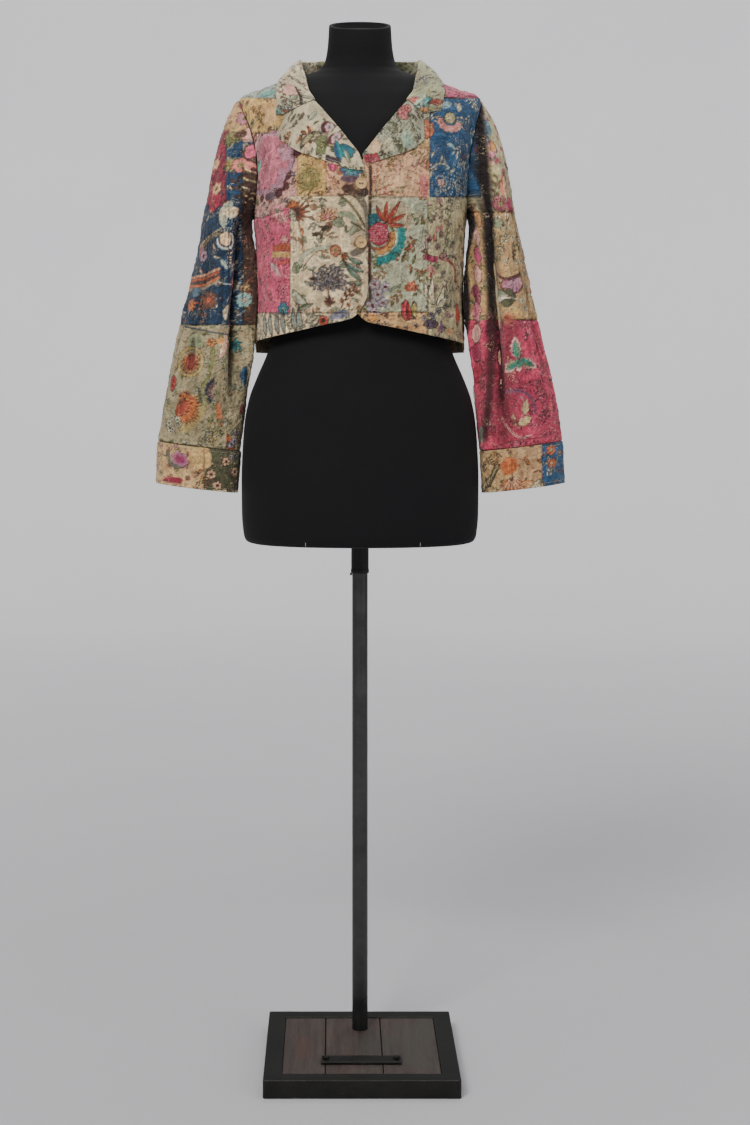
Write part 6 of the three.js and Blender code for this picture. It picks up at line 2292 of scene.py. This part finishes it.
# %% Stitches
STITCH_PITCH, STITCH_LONG, STITCH_RADIUS = 3.3, 2.5, 0.24
STITCH_POINTS, STITCH_SIDES = 5, 6
STITCH_NODES = """
given=NodeGroupInput curve=GeometryNodeMeshToCurve steps=GeometryNodeResampleCurve
reach=ShaderNodeCombineXYZ arc=GeometryNodeCurvePrimitiveLine bend=GeometryNodeResampleCurve
round=GeometryNodeCurvePrimitiveCircle thread=GeometryNodeCurveToMesh way=GeometryNodeInputTangent
align=FunctionNodeAlignRotationToVector place=GeometryNodeInstanceOnPoints
real=GeometryNodeRealizeInstances coat=GeometryNodeSetMaterial out=NodeGroupOutput
"""
STITCH_LINKS = """
given.Lines>curve.Mesh curve.Curve>steps.Curve given.Pitch>steps.Length
given.Long>reach.X reach.Vector>arc.End arc.Curve>bend.Curve given.Radius>round.Radius
bend.Curve>thread.Curve round.Curve>thread.Profile_Curve
way.Tangent>align.Vector steps.Curve>place.Points thread.Mesh>place.Instance align.Rotation>place.Rotation
place.Instances>real.Geometry real.Geometry>coat.Geometry coat.Geometry>out.Stitches
"""


def stitch_tree(material):
    tree = bpy.data.node_groups.new("running_stitch", "GeometryNodeTree")
    face = tree.interface
    face.new_socket("Lines", in_out="INPUT", socket_type="NodeSocketGeometry")
    sizes = {}
    for name, value in (("Pitch", STITCH_PITCH), ("Long", STITCH_LONG), ("Radius", STITCH_RADIUS)):
        socket = face.new_socket(name, in_out="INPUT", socket_type="NodeSocketFloat")
        socket.default_value = value * MM
        sizes[name] = socket.identifier
    face.new_socket("Stitches", in_out="OUTPUT", socket_type="NodeSocketGeometry")
    nodes = {}
    for row in STITCH_NODES.split():
        name, kind = row.split("=")
        nodes[name] = tree.nodes.new(kind)
    nodes["steps"].mode = "LENGTH"
    for row in STITCH_LINKS.split():
        source, target = row.replace("_", " ").split(">")
        (a, out_name), (b, in_name) = source.split("."), target.split(".")
        tree.links.new(nodes[a].outputs[out_name], nodes[b].inputs[in_name])
    nodes["align"].axis = "X"
    nodes["bend"].inputs["Count"].default_value = STITCH_POINTS
    nodes["round"].inputs["Resolution"].default_value = STITCH_SIDES
    nodes["thread"].inputs["Fill Caps"].default_value = True
    nodes["coat"].inputs["Material"].default_value = material
    return tree, sizes


def sew(name, lines, material, **sizes_mm):
    """A mesh of stitches along some lines."""
    mesh = bpy.data.meshes.new(name + "_lines")
    points = np.concatenate(lines) * MM
    starts = np.cumsum([0] + [len(line) for line in lines])
    edges = np.concatenate(
        [np.column_stack([np.arange(a, b - 1), np.arange(a + 1, b)]) for a, b in zip(starts, starts[1:])]
    )
    mesh.from_pydata(points.tolist(), edges.tolist(), [])
    carrier = bpy.data.objects.new(name + "_lines", mesh)
    bpy.context.scene.collection.objects.link(carrier)
    tree, identifiers = stitch_tree(material)
    modifier = carrier.modifiers.new("stitches", "NODES")
    modifier.node_group = tree
    for key, value in sizes_mm.items():
        modifier[identifiers[key]] = value * MM
    seen = carrier.evaluated_get(bpy.context.evaluated_depsgraph_get())
    sewn = bpy.data.objects.new(name, bpy.data.meshes.new_from_object(seen))
    sewn.data.name = name
    bpy.context.scene.collection.objects.link(sewn)
    bpy.data.objects.remove(carrier)
    print(f"{name}: {len(lines)} lines, {len(sewn.data.polygons)} faces")
    return sewn


stitches = sew("edge_stitches", SEWN, STITCH, Pitch=STITCH_PITCH, Long=STITCH_LONG, Radius=STITCH_RADIUS)

# %% [markdown]
# ## Which piece stands for which solid

# %% Ride and replace
SLOTS = {
    "front_right": "cotton_cream", "front_left": "cotton_sage", "back": "cotton_ochre", "sleeve_right": "cotton_blue",
    "sleeve_left": "cotton_rose", "cuff_right": "cotton_ochre", "cuff_left": "cotton_ochre", "collar": "cotton_cream",
    "lapel_right": "cotton_cream", "lapel_left": "cotton_sage",
}  # fmt: skip
CUT = {  # width, length and area of the flat cut, in metres, and what the piece rests on
    "front_right": (0.22, 0.43, 0.080, ["form_torso"]), "front_left": (0.225, 0.43, 0.084, ["form_torso"]),
    "back": (0.46, 0.44, 0.185, ["form_torso"]),
    "sleeve_right": (0.36, 0.51, 0.146, ["back"]), "sleeve_left": (0.36, 0.51, 0.145, ["back"]),
    "cuff_right": (
        0.311, 0.065, 0.0201, ["sleeve_right"]
    ), "cuff_left": (0.311, 0.065, 0.0201, ["sleeve_left"]),
    "collar": (0.52, 0.09, 0.040, ["back"]),
    "lapel_right": (
        0.145, 0.085, 0.0081, ["front_right"]
    ), "lapel_left": (0.125, 0.08, 0.0052, ["front_left"]),
}  # fmt: skip


def stands_for(piece, body, slot, *nodes):
    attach(piece, body)
    if nodes:
        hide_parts(*nodes)


for node, slot in SLOTS.items():
    piece = PIECES["cloth_" + node]
    stands_for(piece, "form", slot, node)
    wide, long, area, rests = CUT[node]
    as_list(rests)
stands_for(torso, "form", "jersey", "form_torso")
stands_for(ticks, "form", "cotton_cream")
stands_for(socket, "form", "dark_steel", "form_socket")
for piece, node in ((pole, "pole"), (pin, "pole_pin"), (tray, "base_tray"), (bar, "base_bar")):
    stands_for(piece, "stand", "dark_steel", node)
for piece, name in zip(boards, ("right", "middle", "left")):
    stands_for(piece, "stand", "board_wood", "base_board_" + name)
for piece, name in zip(bolts, ("right", "left")):
    stands_for(piece, "stand", "dark_steel", "base_bolt_" + name)
stands_for(stitches, "form", "cotton_cream")
for piece, thread, name in zip(buttons, threads, ("upper", "lower")):
    stands_for(piece, "form", "button_wood", "button_" + name)
    stands_for(thread, "form", "button_wood")

# %% [markdown]
# ## Studio
#
# A pale painted backdrop curves up behind the stand. A large soft light hangs at the front right, and a
# weaker one fills from the left, so the folds show and the shadow on the floor is soft.


# %% Backdrop and lights
ROOM = {"floor": 5000, "curve": 1500, "high": 9000, "sides": 96}


def room_ring(name, profile, closed):
    """Part of the round backdrop, from (radius, height)."""
    a = np.linspace(0, 2 * np.pi, ROOM["sides"], endpoint=False)
    rings = [np.column_stack([r * np.cos(a), r * np.sin(a), np.full(len(a), z)]) for r, z in profile]
    piece = ring_piece(name, rings, closed, False) if closed else make_mesh(
        name, np.concatenate(rings), grid_quads(np.arange(len(rings) * len(a)).reshape(-1, len(a)), True)
    )
    paint(piece, BACKDROP)
    return piece


BACKDROP = backdrop()
room_ring("studio_floor", [(r, 0) for r in (500, 1500, 2500, 3500, ROOM["floor"])], True)
turn = np.linspace(0, np.pi / 2, 17)
rise = [(ROOM["floor"] + ROOM["curve"] * math.sin(k), ROOM["curve"] * (1 - math.cos(k))) for k in turn]
wall = room_ring("studio_wall", rise + [(ROOM["floor"] + ROOM["curve"], ROOM["high"])], False)
# The wall lets the soft light of the sky through, so the model is lit as in an open studio.
wall.visible_diffuse = wall.visible_glossy = wall.visible_shadow = False


def soft_light(name, place, aim, power, size, tint):
    light = bpy.data.lights.new(name, "AREA")
    light.shape, light.size, light.size_y, light.energy, light.color = "RECTANGLE", size[0], size[1], power, tint
    lamp = bpy.data.objects.new(name, light)
    bpy.context.scene.collection.objects.link(lamp)
    lamp.location = place
    way = np.array(aim, float) - place
    lamp.rotation_euler = (
        math.acos(-way[2] / np.linalg.norm(way)), 0, math.atan2(way[1], way[0]) - math.pi / 2
    )


soft_light("key", (-1.2, -2.5, 2.9), (0, 0, 1.1), 100, (1.2, 1.2), (1, 0.985, 0.96))
soft_light("fill", (3.0, -2.0, 1.9), (0, 0, 0.9), 26, (1.4, 2.2), (0.96, 0.98, 1))
soft_light("top", (0.3, 0.6, 3.4), (0, 0, 0.9), 56, (2.4, 2.4), (1, 1, 1))
world = bpy.data.worlds.new("studio")
bpy.context.scene.world = world
world.use_nodes = True
world.node_tree.nodes["Background"].inputs["Color"].default_value = (0.86, 0.87, 0.9, 1)
world.node_tree.nodes["Background"].inputs["Strength"].default_value = 0.28
